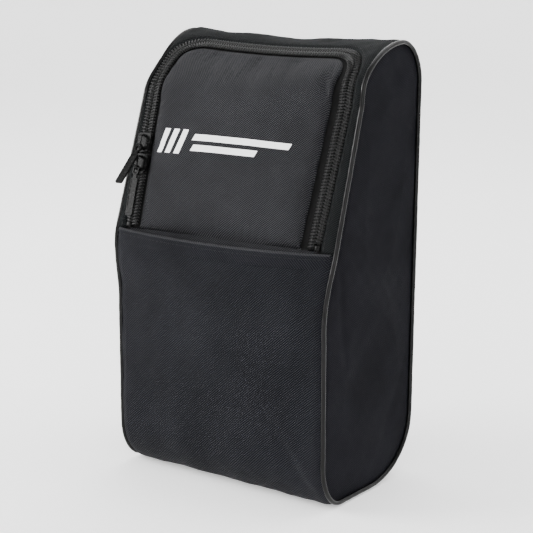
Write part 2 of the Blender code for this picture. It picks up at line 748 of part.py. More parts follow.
def main():
    clear_scene()
    twill = fabric("pocket_twill", (0.030, 0.031, 0.034))
    door = fabric("flap_cloth", (0.055, 0.057, 0.060))
    side_cloth = fabric("gusset_cloth", (0.022, 0.023, 0.026))
    inner_cloth = fabric("inner_cloth", (0.040, 0.040, 0.043))
    foam = fabric("foam", (0.45, 0.45, 0.44), 1.0)
    cord = fabric("piping_vinyl", (0.030, 0.030, 0.032), 0.45)
    tape = fabric("zip_tape", (0.018, 0.018, 0.020), 0.95)
    coil = fabric("nylon_coil", (0.015, 0.015, 0.017), 0.35)
    metal = fabric("black_metal", (0.020, 0.020, 0.022), 0.30, 0.9)
    binding = fabric("binding_tape", (0.025, 0.025, 0.028))
    board = fabric("board", (0.050, 0.050, 0.055), 0.6)
    webbing = fabric("webbing", (0.024, 0.024, 0.027))

    make_pocket(twill, binding)
    make_front_panel(inner_cloth)
    make_surround(twill)
    make_back_and_base(twill, side_cloth)
    for side in (-1, 1):
        make_gusset(side, side_cloth)
        make_piping(side, cord)
        make_seam_binding(side, binding)
    make_base_board(board)
    make_handle(webbing)

    hinge = make_hinge_line()
    hang(hinge, make_flap(door, foam, inner_cloth))
    hang(hinge, make_zip(tape, coil, metal))
    for which, height in SLIDER_HEIGHTS.items():
        frame = slider_frame(height)
        slider = make_slider(which, frame, metal)
        hang(hinge, [slider])
        hang(slider, [make_bridge(which, frame, metal), make_pull(which, frame, metal)])


main()
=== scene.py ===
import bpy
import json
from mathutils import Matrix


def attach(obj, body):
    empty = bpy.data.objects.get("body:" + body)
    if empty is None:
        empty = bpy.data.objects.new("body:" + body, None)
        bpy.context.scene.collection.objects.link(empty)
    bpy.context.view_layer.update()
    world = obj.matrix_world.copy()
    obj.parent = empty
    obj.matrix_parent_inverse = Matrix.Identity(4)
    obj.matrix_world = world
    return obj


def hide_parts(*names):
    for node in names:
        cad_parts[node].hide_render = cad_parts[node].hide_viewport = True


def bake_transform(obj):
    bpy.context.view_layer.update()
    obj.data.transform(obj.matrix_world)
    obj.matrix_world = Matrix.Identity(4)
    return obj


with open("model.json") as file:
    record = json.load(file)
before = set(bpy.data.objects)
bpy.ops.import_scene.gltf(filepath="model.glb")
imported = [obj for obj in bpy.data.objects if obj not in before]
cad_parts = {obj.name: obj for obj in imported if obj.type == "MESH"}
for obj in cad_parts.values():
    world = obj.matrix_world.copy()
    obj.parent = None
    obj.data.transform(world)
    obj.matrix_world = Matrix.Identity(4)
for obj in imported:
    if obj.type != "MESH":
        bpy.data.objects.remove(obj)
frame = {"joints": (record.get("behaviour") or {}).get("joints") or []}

"""The golf shoe bag's looks: cloth, stitched seams, coil zip, sliders and pulls over the fixed frame.

Every wrap piece is placed by x across the bag, s along the side outline and d out from it, which is
then moved to how the filled bag stands, by the same rules as the frame's own parts.
"""

import json
import math

import bmesh
import bpy
import numpy as np
from mathutils import Matrix, Vector

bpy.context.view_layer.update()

# Side outline, as (y, z) from the front plane and from the lowest point of the piping's centre
FRONT_SEAM = (0.0250, 0.0)
FRONT_FOOT_HEIGHT = 0.034
FRONT_BEND_START = (0.0, 0.150)
LEAN_START = (0.0070, 0.195)
LEAN_END = (0.0440, 0.304)
RIDGE = (0.1020, 0.343)
SHOULDER = (0.1285, 0.312)
BACK_FOOT = (0.1225, 0.048)
BASE_REAR = (0.0680, 0.0)
BEND_EASE = 0.015
DOOR_TOP_EASE = 0.014
RIDGE_EASE = (0.030, 0.016)
SHOULDER_EASE = 0.012
MIDDLE_DEPTH = 0.064
BASE_LIFT = 0.0026

# How the filled bag stands
TWIST_AT_FOOT = -0.004
TWIST_AT_HEM = 0.0045
TWIST_AT_CORNER = 0.0020
TWIST_AT_TOP = -0.006
HEM_TWIST_HEIGHTS = (0.143, 0.199)
DOOR_TWIST_HEIGHTS = (0.199, 0.300)
TOP_TWIST_HEIGHTS = (0.300, 0.331)
TWIST_DEPTHS = (-0.020, 0.060)
RIDGE_SAG = 0.0045
SAG_HEIGHTS = (0.300, 0.340)

# Widths and levels shared with the frame
SEAM_HALF_WIDTH = 0.1000
PANEL_HALF_WIDTH = 0.0973
PANEL_HIGH = 0.0026
HEM_HEIGHT = 0.1930
FLAP_ABOVE_HEM = 0.0022
ZIP_SHIFT = -0.0022
LEG_HALF_WIDTH_AT_HEM = 0.0838
LEG_HALF_WIDTH_AT_BEND = 0.0890
ZIP_TOP_Y = 0.0770
ZIP_CORNER_RADIUS = 0.0270
TAPE_HALF_WIDTH = 0.0130
SURROUND_EDGE = 0.0060
FLAP_EDGE = 0.0075
FOAM_EDGE = 0.0136
LINING_EDGE = 0.0085
STOP_LENGTH = 0.0040
FLAP_CROWN = 0.0030
POCKET_BOW = 0.0045
MOUTH_BOW = 0.0080
MOUTH_BOW_OVER = 0.0600
POCKET_BOW_FROM = 0.0300
POCKET_BOW_OVER = 0.0500
BACKING_BOW = 0.0050
BACKING_MOUTH_BOW = 0.0030
HANDLE_HEIGHT = 0.2850
HANDLE_WEBBING = 0.0250
HANDLE_THICKNESS = 0.0020
HANDLE_HALF_SPAN = 0.0750
HANDLE_END = 0.0280
HANDLE_BOW = 0.0240
HANDLE_ARCH = 0.6

# Sliders and pulls
SLIDER_HALF_LENGTH = 0.0078
SLIDER_HALF_WIDTH = 0.0066
PIVOT_DOWN = 0.0032
PIVOT_OUT = 0.0076
PULL_LENGTH = 0.0400
PULL_HALF_WIDTH = 0.0034
PULL_HALF_THICKNESS = 0.0008
UPPER_PULL_RAISED = math.radians(30)

# Looks only
CLOTH_STEP = 0.0020
CLOTH_THICKNESS = 0.0012
TUCK_HALF_WIDTH = 0.0987  # the cloth's side edges end inside the piping
SEAM_DROP = 0.0019
SEAM_DROP_OVER = 0.0065
HEM_DIP = 0.0042
RIGHT_FOLD = 0.0050  # the flap's right edge is folded under a little further than its left
FLAP_FOLDS = (-0.048, -0.008, 0.029)  # x of the soft folds that hang from its top edge
TOOTH_PITCH = 0.0024
WIRE_RADIUS = 0.0006
STITCH_LENGTH = 0.0030
STITCH_GAP = 0.0010
THREAD_RADIUS = 0.00028
FOLD_DEPTH = 0.0017
FOLD_WIDTH = 0.0065
FOLD_LENGTH = 0.040
FOLD_LEAN = 0.18
PAD_RISE = 0.0030  # most that the cloth simulation lifts the flap's face
PAD_SLIDE = 0.0012
SIM_SCALE = 10.0
SIM_FRAMES = 20
SIM_SETTINGS = {
    "quality": 6,
    "mass": 0.25,
    "tension_stiffness": 12,
    "compression_stiffness": 6,
    "shear_stiffness": 4,
    "bending_stiffness": 0.35,
    "shrink_min": -0.035,
    "air_damping": 2.0,
    "use_pressure": True,
    "uniform_pressure_force": 4.0,
    "vertex_group_mass": "held",
}
RIPPLE_WAVES = 9
FINE_FROM = 0.090  # the grid is finer from here to the side seams
HEM_SECTION = (  # the folded hem, as out from the cloth and down from the mouth
    (0.0001, 0.0098), (0.0003, 0.0101), (0.0006, 0.0096), (0.0006, 0.0060), (0.0005, 0.0031),
    (0.0009, 0.0022), (0.0013, 0.0009), (0.0010, -0.0008), (-0.0003, -0.0013), (-0.0013, -0.0008),
    (-0.0019, 0.0003), (-0.0020, 0.006), (-0.0019, 0.0098),
)
HEM_STITCH_BELOW = 0.0032
HEM_HIGHLIGHT_WIDTH = 0.0005  # width of the painted highlight along the hem's folded edge
# how much paler the painted highlight makes the hem's folded edge
HEM_HIGHLIGHT_PALER = 0.012
GUSSET_AT = 0.0997
GUSSET_RIM = -0.0013
GUSSET_CENTRE = (0.004, 0.165)
PIPING_RADIUS = 0.00195
BINDING_SECTION = (  # x and level of the tape over the raw edges
    (0.0915, -0.0046), (0.0940, -0.00445), (0.0967, -0.0046),
    (0.0967, -0.0058), (0.0940, -0.00595), (0.0915, -0.0058),
)
BOARD_ENDS = (0.0210, 0.0830)
BOARD_HALF_WIDTH = 0.0895
BOARD_HALF_DEPTH = 0.0310
BOARD_CORNER = 0.008
BOARD_LEVELS = (0.0070, 0.0088)
HANDLE_LEVEL = PANEL_HIGH + 0.0004
STITCH_INSET = 0.003
TAPE_STEP = 0.0016
TAPE_REACH = 0.0970
COIL_STEP = 0.0002
COIL_LEVEL = 0.0013
CORE_OFF = 0.0034
CORE_RADIUS = 0.00055
HINGE_BELOW = 0.0130
PRINT_HEIGHT = 0.2615
INK_LIFT = 0.00022
HARD_EDGE = math.radians(35)
PAPER_GLOW = 0.45  # the backdrop is paper lit from behind
ROOM_LIGHT = 1.30
CAMERA_AT = (0.75396, -1.06991, 0.45916)
CAMERA_TURN = (math.radians(35.145), math.radians(12.636))
CAMERA_LENS = 113.9


# ---------------------------------------------------------------- outline and placing
def arc(centre, radii, start_deg, end_deg):
    angles = np.radians(np.linspace(start_deg, end_deg, 60))
    return [(centre[0] + radii[0] * math.cos(a), centre[1] + radii[1] * math.sin(a)) for a in angles]


def bezier(start, pull_start, pull_end, end):
    p0, p3 = np.array(start), np.array(end)
    p1, p2 = p0 + pull_start, p3 - np.array(pull_end)
    return [
        tuple((1 - t) ** 3 * p0 + 3 * t * (1 - t) ** 2 * p1 + 3 * t * t * (1 - t) * p2 + t**3 * p3)
        for t in np.linspace(0, 1, 60)
    ]


def side_outline():
    """The closed side outline, from the seam under the front, up the front and round to the base."""
    lean = np.array(LEAN_END) - LEAN_START
    lean = lean / np.linalg.norm(lean)
    back = np.array(BACK_FOOT) - SHOULDER
    back = back / np.linalg.norm(back)
    foot_centre = (FRONT_SEAM[0], FRONT_FOOT_HEIGHT)
    points = arc(foot_centre, (FRONT_SEAM[0], FRONT_FOOT_HEIGHT), 270, 180)
    points += bezier(FRONT_BEND_START, (0.0, BEND_EASE), BEND_EASE * lean, LEAN_START)
    points += bezier(LEAN_END, DOOR_TOP_EASE * lean, (RIDGE_EASE[0], 0.0), RIDGE)
    points += bezier(RIDGE, (RIDGE_EASE[1], 0.0), SHOULDER_EASE * back, SHOULDER)
    rear_centre = (BASE_REAR[0], BACK_FOOT[1])
    points += arc(rear_centre, (BACK_FOOT[0] - BASE_REAR[0], BACK_FOOT[1]), 0, -90)
    points.append(FRONT_SEAM)
    kept = [points[0]]
    for point in points[1:]:
        steps = math.ceil(math.dist(point, kept[-1]) / 0.0015)
        kept += [tuple(p) for p in np.linspace(kept[-1], point, steps + 1)[1:]]
    return np.array(kept) + (-MIDDLE_DEPTH, BASE_LIFT)


OUTLINE = side_outline()
STEPS = np.diff(OUTLINE, axis=0)
OUTLINE_S = np.concatenate([[0], np.cumsum(np.linalg.norm(STEPS, axis=1))])
OUTLINE_LENGTH = float(OUTLINE_S[-1])
HEADING = np.interp(
    OUTLINE_S, (OUTLINE_S[1:] + OUTLINE_S[:-1]) / 2, np.unwrap(np.arctan2(STEPS[:, 1], STEPS[:, 0]))
)
HEADING[-1] = HEADING[0] - 2 * math.pi
TOP_INDEX = int(np.argmax(OUTLINE[:, 1]))


def at_height(z, rising=True):
    side = slice(0, TOP_INDEX + 1) if rising else slice(TOP_INDEX, len(OUTLINE_S))
    heights, places = OUTLINE[side, 1], OUTLINE_S[side]
    order = np.argsort(heights)
    return float(np.interp(z, heights[order], places[order]))


def ease(ends, value):
    share = np.clip((value - ends[0]) / (ends[1] - ends[0]), 0, 1)
    return share * share * (3 - 2 * share)


def stand(x, y, z):
    """Moves points of the even pattern to where they are on the filled, standing bag."""
    share = x / SEAM_HALF_WIDTH
    twist = TWIST_AT_FOOT + (TWIST_AT_HEM - TWIST_AT_FOOT) * ease(HEM_TWIST_HEIGHTS, z)
    twist = twist + np.interp(z, DOOR_TWIST_HEIGHTS, (0, TWIST_AT_CORNER - TWIST_AT_HEM))
    twist = twist + (TWIST_AT_TOP - TWIST_AT_CORNER) * ease(TOP_TWIST_HEIGHTS, z)
    sag = RIDGE_SAG * (1 - share * share) * ease(SAG_HEIGHTS, z)
    return np.stack([x, y + share * twist * (1 - ease(TWIST_DEPTHS, y)), z - sag], -1)


def place(x, s, d):
    """Points at x, at s along the outline and d outside it. Takes and returns arrays."""
    x, s, d = np.broadcast_arrays(np.asarray(x, float), np.asarray(s, float), np.asarray(d, float))
    s = np.mod(s, OUTLINE_LENGTH) if np.any(s > OUTLINE_LENGTH) or np.any(s < 0) else s
    turn = np.interp(s, OUTLINE_S, HEADING)
    y = np.interp(s, OUTLINE_S, OUTLINE[:, 0]) - d * np.sin(turn)
    z = np.interp(s, OUTLINE_S, OUTLINE[:, 1]) + d * np.cos(turn)
    return stand(x, y, z)


S_HEM = at_height(HEM_HEIGHT + BASE_LIFT)
S_FLAP = S_HEM + FLAP_ABOVE_HEM
S_BEND = at_height(LEAN_END[1] + BASE_LIFT)
S_BACK = at_height(SHOULDER[1] + BASE_LIFT, rising=False)
S_REAR = at_height(BACK_FOOT[1] + BASE_LIFT, rising=False)
TOP_SIDE = (OUTLINE_S >= S_BEND) & (OUTLINE_S <= S_BACK)
S_ZIP_TOP = float(np.interp(ZIP_TOP_Y - MIDDLE_DEPTH, OUTLINE[TOP_SIDE, 0], OUTLINE_S[TOP_SIDE]))
S_CORNER = S_ZIP_TOP - ZIP_CORNER_RADIUS
CORNER_MIDDLE = LEG_HALF_WIDTH_AT_BEND - ZIP_CORNER_RADIUS


# ---------------------------------------------------------------- pattern helpers
def leg_half_width(s):
    share = np.clip((s - S_HEM) / (S_BEND - S_HEM), 0, 1)
    return LEG_HALF_WIDTH_AT_HEM + share * (LEG_HALF_WIDTH_AT_BEND - LEG_HALF_WIDTH_AT_HEM)


def zip_offset(x, s):
    """How far outside the zip's centre line a place of the pattern is."""
    side = np.abs(x - ZIP_SHIFT)
    past = s - S_CORNER
    rounded = np.hypot(np.maximum(side - CORNER_MIDDLE, 0), np.maximum(past, 0)) - ZIP_CORNER_RADIUS
    return np.where(past < 0, side - leg_half_width(s), rounded)


def half_width_inside(s, inset):
    """Half width of the shape inside the zip's centre line by inset, at each s."""
    radius = ZIP_CORNER_RADIUS - inset
    past = np.clip(s - S_CORNER, 0, radius)
    turned = CORNER_MIDDLE + np.sqrt(np.maximum(radius**2 - past**2, 0))
    return np.where(s < S_CORNER, leg_half_width(s) - inset, turned)


def zip_line(step):
    """The zip's centre line in the pattern, up the left leg and down the right, evenly spaced."""
    s_leg = np.linspace(S_FLAP, S_CORNER, 120)
    angles = np.radians(np.linspace(0, 90, 40))[1:]
    x = np.concatenate([leg_half_width(s_leg), CORNER_MIDDLE + ZIP_CORNER_RADIUS * np.cos(angles)])
    s = np.concatenate([s_leg, S_CORNER + ZIP_CORNER_RADIUS * np.sin(angles)])
    x, s = np.concatenate([-x, x[::-1]]), np.concatenate([s, s[::-1]])
    along = np.concatenate([[0], np.cumsum(np.hypot(np.diff(x), np.diff(s)))])
    even = np.arange(0, along[-1], step)
    x, s = np.interp(even, along, x), np.interp(even, along, s)
    across = np.stack([-np.gradient(s), np.gradient(x)], 1)
    across /= np.linalg.norm(across, axis=1)[:, None]
    return x + ZIP_SHIFT, s, across


def beside_zip(off):
    """A line beside the zip's centre line, outside it by off."""
    x, s, across = zip_line(0.001)
    return x + across[:, 0] * off, s + across[:, 1] * off


def ripple(u, v, length, seed):
    """A smooth uneven field between about -1 and 1, with waves of about this length."""
    rng = np.random.default_rng(seed)
    total = 0
    for _ in range(RIPPLE_WAVES):
        angle = rng.uniform(0, math.pi)
        size = 2 * math.pi / (length * rng.uniform(0.6, 1.7))
        phase = rng.uniform(0, 2 * math.pi)
        total = total + np.sin(size * (u * math.cos(angle) + v * math.sin(angle)) + phase)
    return total / math.sqrt(RIPPLE_WAVES * 2)


def bump_at(u, v, centre, size, turn_deg):
    """A single smooth hill of height 1."""
    a = math.radians(turn_deg)
    p, q = u - centre[0], v - centre[1]
    p, q = p * math.cos(a) + q * math.sin(a), -p * math.sin(a) + q * math.cos(a)
    return np.exp(-((p / size[0]) ** 2) - (q / size[1]) ** 2)


def hills(u, v, *table):
    """The sum of several hills and hollows, each as height, centre, size and turn in degrees."""
    return sum(height * bump_at(u, v, centre, size, turn) for height, centre, size, turn in table)


def bowed(x, s, low, mouth):
    """How far a panel of the pocket stands off, from its bow low down and the one at the mouth."""
    rise = np.clip((s - POCKET_BOW_FROM) / POCKET_BOW_OVER, 0, 1)
    opening = np.clip((s - S_HEM + MOUTH_BOW_OVER) / MOUTH_BOW_OVER, 0, 1)
    return (low * rise + (mouth - low) * opening) * np.maximum(1 - (x / PANEL_HALF_WIDTH) ** 2, 0)


def pocket_bow(x, s):
    return bowed(x, s, POCKET_BOW, MOUTH_BOW)


def flap_crown(x, s):
    across = np.maximum(1 - (x / LEG_HALF_WIDTH_AT_BEND) ** 2, 0)
    up = np.sin(math.pi * np.clip((s - S_FLAP) / (S_ZIP_TOP - S_FLAP), 0, 1))
    return FLAP_CROWN * across * up


def seam_drop(x):
    """How far the side edges are pulled down into the piped seams."""
    near = np.clip((np.abs(x) - TUCK_HALF_WIDTH + SEAM_DROP_OVER) / SEAM_DROP_OVER, 0, 1)
    return SEAM_DROP * near**2.2


# ---------------------------------------------------------------- mesh helpers
def add_object(name, data):
    obj = bpy.data.objects.new(name, data)
    bpy.context.scene.collection.objects.link(obj)
    return obj


def shaded(name, mesh, material, sharp_deg):
    mesh.shade_smooth()
    mesh.set_sharp_from_angle(angle=math.radians(sharp_deg))
    mesh.materials.append(material)
    return add_object(name, mesh)


def grid_cells(index):
    """The four corners of each cell of a grid of point numbers."""
    return np.stack([index[:-1, :-1], index[:-1, 1:], index[1:, 1:], index[1:, :-1]], -1)


def ring_faces(count, sides, closed=False):
    """Faces between rings of points that follow one another."""
    i, j = np.meshgrid(np.arange(count if closed else count - 1), np.arange(sides), indexing="ij")
    n, k = (i + 1) % count, (j + 1) % sides
    corners = [i * sides + j, i * sides + k, n * sides + k, n * sides + j]
    return np.stack(corners, -1).reshape(-1, 4).tolist()


def end_faces(count, sides):
    return [list(range(sides))[::-1], list(range((count - 1) * sides, count * sides))]


def make(name, points, faces, material, uv=None, sharp_deg=45):
    mesh = bpy.data.meshes.new(name)
    mesh.from_pydata(np.asarray(points, float).tolist(), [], [list(map(int, f)) for f in faces])
    if uv is not None:
        layer = mesh.uv_layers.new(name="metres")
        loops = np.zeros(len(mesh.loops), np.int32)
        mesh.loops.foreach_get("vertex_index", loops)
        layer.data.foreach_set("uv", np.asarray(uv, np.float32)[loops].ravel())
    bm = bmesh.new()
    bm.from_mesh(mesh)
    bmesh.ops.recalc_face_normals(bm, faces=bm.faces)
    bm.to_mesh(mesh)
    bm.free()
    return shaded(name, mesh, material, sharp_deg)


def fit_out(obj, body, slot, *nodes):
    """Rides on the body and stands for the frame's nodes, which it hides. slot is not used."""
    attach(obj, body)
    if nodes:
        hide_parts(*nodes)
    return obj


def shell(name, top, bottom, material, uv, keep=None, around=False):
    """A closed cloth body from matching grids of points. keep marks the cells that are cloth."""
    rows, columns = top.shape[:2]
    index = np.arange(rows * columns).reshape(rows, columns)
    if around:
        index = np.vstack([index, index[:1]])
    cells = grid_cells(index)
    if keep is not None:
        cells = cells[keep]
    cells = cells.reshape(-1, 4)
    edges = {}
    for cell in cells.tolist():
        for a, b in zip(cell, cell[1:] + cell[:1]):
            edges.setdefault((min(a, b), max(a, b)), []).append((a, b))
    under = rows * columns
    rims = [uses[0] for uses in edges.values() if len(uses) == 1]
    walls = [(b, a, a + under, b + under) for a, b in rims]
    faces = cells.tolist() + (cells[:, ::-1] + under).tolist() + walls
    points = np.concatenate([top.reshape(-1, 3), bottom.reshape(-1, 3)])
    used = np.unique(np.concatenate([np.ravel(f) for f in (cells, cells + under)]))
    again = np.full(len(points), -1)
    again[used] = np.arange(len(used))
    faces = [[again[i] for i in face] for face in faces]
    both = np.concatenate([uv.reshape(-1, 2)] * 2)
    return make(name, points[used], faces, material, both[used], 60)


def sheet(name, x, s, high, low, finish, body, slot, node, keep=None):
    """A cloth body between two levels over places of the pattern, fitted out."""
    cloth_body = shell(name, place(x, s, high), place(x, s, low), M[finish], np.stack([x, s], -1), keep)
    return fit_out(cloth_body, body, slot, node)


def tube(centres, radius, sides, closed=False, lift=(0.31, 0.17, 0.93)):
    """Points and faces of a round tube along a line. lift is any direction the line never takes."""
    centres = np.asarray(centres, float)
    if closed:
        ahead, behind = np.roll(centres, -1, 0), np.roll(centres, 1, 0)
    else:
        ahead = np.vstack([centres[1:], centres[-1:]])
        behind = np.vstack([centres[:1], centres[:-1]])
    along = ahead - behind
    along /= np.linalg.norm(along, axis=1)[:, None]
    first = np.cross(along, np.tile(lift, (len(centres), 1)))
    first /= np.linalg.norm(first, axis=1)[:, None]
    second = np.cross(first, along)
    turn = np.linspace(0, 2 * math.pi, sides, endpoint=False)[None, :, None]
    size = np.broadcast_to(np.asarray(radius, float), (len(centres),))[:, None, None]
    ring = first[:, None] * np.cos(turn) + second[:, None] * np.sin(turn)
    points = (centres[:, None] + ring * size).reshape(-1, 3)
    faces = ring_faces(len(centres), sides, closed)
    if not closed:
        faces += end_faces(len(centres), sides)
    return points, faces


def join_parts(parts):
    """One set of points and faces from several."""
    points, faces, start = [], [], 0
    for these, those in parts:
        points.append(these)
        faces += [[i + start for i in face] for face in those]
        start += len(these)
    return np.concatenate(points), faces


def stitches(name, lines, body, slot, radius=THREAD_RADIUS):
    """Short thread loops along lines of (points, outward directions), dipping in at both ends."""
    parts = []
    for points, outs in lines:
        along = np.concatenate([[0], np.cumsum(np.linalg.norm(np.diff(points, axis=0), axis=1))])
        count = int(along[-1] // (STITCH_LENGTH + STITCH_GAP))
        for i in range(count):
            start = (i + 0.15) * along[-1] / count
            steps = start + np.linspace(0, STITCH_LENGTH, 5)
            p = np.stack([np.interp(steps, along, points[:, k]) for k in range(3)], 1)
            o = np.stack([np.interp(steps, along, outs[:, k]) for k in range(3)], 1)
            rise = radius * np.array([-2.2, 0.25, 0.6, 0.25, -2.2])
            parts.append(tube(p + o * rise[:, None], radius, 6))
    points, faces = join_parts(parts)
    fit_out(make(name, points, faces, M["thread"]), body, slot)


def outward(x, s, d):
    """Directions straight out from the cloth."""
    away = place(x, s, d + 0.001) - place(x, s, d)
    return away / np.linalg.norm(away, axis=-1)[..., None]


def seam(x, s, d):
    """A line for stitches: its points and the directions out of the cloth."""
    return place(x, s, d), outward(x, s, d)


# ---------------------------------------------------------------- materials
class Nodes:
    """Short spellings for building a node tree."""

    def __init__(self, name):
        self.material = bpy.data.materials.new(name)
        self.material.use_nodes = True
        self.tree = self.material.node_tree
        self.shader = self.tree.nodes["Principled BSDF"]

    def add(self, kind, **values):
        node = self.tree.nodes.new(kind)
        for key, value in values.items():
            setattr(node, key, value)
        return node

    def link(self, source, target):
        self.tree.links.new(source, target)

    def math(self, operation, a, b=None):
        node = self.add("ShaderNodeMath", operation=operation)
        for socket, value in zip(node.inputs, (a, b)):
            if isinstance(value, (int, float)):
                socket.default_value = value
            elif value is not None:
                self.link(value, socket)
        return node.outputs[0]

    def uv(self):
        split = self.add("ShaderNodeSeparateXYZ")
        self.link(self.add("ShaderNodeUVMap", uv_map="metres").outputs[0], split.inputs[0])
        return split.outputs[0], split.outputs[1]

    def noise(self, scale, detail, rough=0.5):
        node = self.add("ShaderNodeTexNoise")
        node.inputs["Scale"].default_value = scale
        node.inputs["Detail"].default_value = detail
        node.inputs["Roughness"].default_value = rough
        self.link(self.add("ShaderNodeTexCoord").outputs["Object"], node.inputs["Vector"])
        return node.outputs[0]

    def spread(self, value, low, high):
        node = self.add("ShaderNodeMapRange")
        node.inputs["To Min"].default_value = low
        node.inputs["To Max"].default_value = high
        self.link(value, node.inputs["Value"])
        return node.outputs[0]

    def ramp(self, value, *stops):
        node = self.add("ShaderNodeValToRGB")
        elements = node.color_ramp.elements
        while len(elements) < len(stops):
            elements.new(0.5)
        for element, (position, colour) in zip(elements, stops):
            element.position = position
            element.color = (*colour, 1.0)
        self.link(value, node.inputs[0])
        return node.outputs[0]

    def finish(self, colour, roughness, height=None, depth=0.0002, strength=1.0):
        self.link(colour, self.shader.inputs["Base Color"])
        self.link(roughness, self.shader.inputs["Roughness"])
        if height is not None:
            bump = self.add("ShaderNodeBump")
            bump.inputs["Strength"].default_value = strength
            bump.inputs["Distance"].default_value = depth
            self.link(height, bump.inputs["Height"])
            self.link(bump.outputs[0], self.shader.inputs["Normal"])
        return self.material


def half_sine(n, value, pitch):
    angle = n.math("MULTIPLY", value, 2 * math.pi / pitch)
    node = n.add("ShaderNodeMath", operation="MULTIPLY_ADD")
    n.link(n.math("SINE", angle), node.inputs[0])
    node.inputs[1].default_value = 0.5
    node.inputs[2].default_value = 0.5
    return node.outputs[0]


def grey(level, tint=(0, 0, 0)):
    return tuple(level + t for t in tint)


def cloth(name, level, contrast, yarn, twill_share=None, tint=(0, 0, 0), rough=(0.62, 0.85), sheen=0.02,
          spec=0.09, depth=0.00045, fold_highlight=None):
    """Woven cloth: yarns crossing in u and v, twill ribs on the diagonal, worn and dusty in patches, and if
    asked a painted highlight along its v = 0 edge.
    """
    n = Nodes(name)
    u, v = n.uv()
    uneven = n.math("MULTIPLY", n.noise(60, 3), 0.0014)
    if twill_share is not None:
        slant = n.math("SUBTRACT", n.math("MULTIPLY", u, 0.85), v)
        ribs = half_sine(n, n.math("ADD", slant, uneven), yarn)
        knots = half_sine(n, n.math("ADD", n.math("ADD", u, v), uneven), yarn)
        between = n.math("ADD", n.math("MULTIPLY", knots, 1 - twill_share), twill_share)
        height = n.math("MULTIPLY", ribs, between)
    else:
        warp, weft = half_sine(n, n.math("ADD", u, uneven), yarn), half_sine(n, v, yarn)
        height = n.math("ABSOLUTE", n.math("SUBTRACT", warp, weft))
    patches = n.noise(16, 5, 0.6)
    flecks = n.noise(2600, 2, 0.7)
    shade = n.math("ADD", n.math("MULTIPLY", height, 0.75), n.math("MULTIPLY", flecks, 0.25))
    dark, light_yarn = grey(level * (1 - contrast), tint), grey(level * (1 + 2 * contrast), tint)
    base = n.ramp(shade, (0.22, dark), (0.78, light_yarn))
    # painted highlight: cloth nearer than the given width to the v = 0 edge is made paler, standing in for
    # light on the hem's folded roll
    if fold_highlight is not None:
        edge = n.add("ShaderNodeMix", data_type="RGBA", blend_type="ADD")
        n.link(n.math("LESS_THAN", v, fold_highlight), edge.inputs[0])
        n.link(base, edge.inputs[6])
        edge.inputs[7].default_value = (*grey(HEM_HIGHLIGHT_PALER), 1.0)
        base = edge.outputs[2]
    worn = n.add("ShaderNodeMix", data_type="RGBA", blend_type="MULTIPLY")
    worn.inputs[0].default_value = 1.0
    n.link(base, worn.inputs[6])
    n.link(n.ramp(patches, (0.30, grey(0.80)), (0.72, grey(1.30))), worn.inputs[7])
    n.shader.inputs["Sheen Weight"].default_value = sheen
    n.shader.inputs["Sheen Roughness"].default_value = 0.4
    n.shader.inputs["Specular IOR Level"].default_value = spec
    roughness = n.spread(patches, rough[1], rough[0])
    return n.finish(worn.outputs[2], roughness, shade, depth, 0.8)


def tape_cloth(name, level, pitch, across=False, rough=0.7, depth=0.00025):
    """Ribbed narrow weave, its ribs along the tape or across it."""
    n = Nodes(name)
    u, v = n.uv()
    ribs = half_sine(n, v if across else u, pitch)
    cross = half_sine(n, u if across else v, pitch * 0.62)
    height = n.math("ADD", n.math("MULTIPLY", ribs, 0.7), n.math("MULTIPLY", cross, 0.3))
    patches = n.noise(30, 4, 0.6)
    colour = n.ramp(height, (0.1, grey(level * 0.55)), (0.9, grey(level * 1.35)))
    n.shader.inputs["Specular IOR Level"].default_value = 0.1
    return n.finish(colour, n.spread(patches, rough + 0.1, rough - 0.12), height, depth, 0.9)


def coated(name, level, rough, grain, depth=0.00006, spec=0.5):
    """Vinyl, nylon, paint or board: a fine grain, worn patches and small scratches."""
    n = Nodes(name)
    fine = n.noise(grain, 4, 0.6)
    patches = n.noise(45, 4, 0.65)
    colour = n.ramp(patches, (0.3, grey(level * 0.8)), (0.75, grey(level * 1.3)))
    n.shader.inputs["Specular IOR Level"].default_value = spec
    roughness = n.spread(n.math("MULTIPLY", patches, fine), rough - 0.06, rough + 0.30)
    return n.finish(colour, roughness, fine, depth, 0.5)


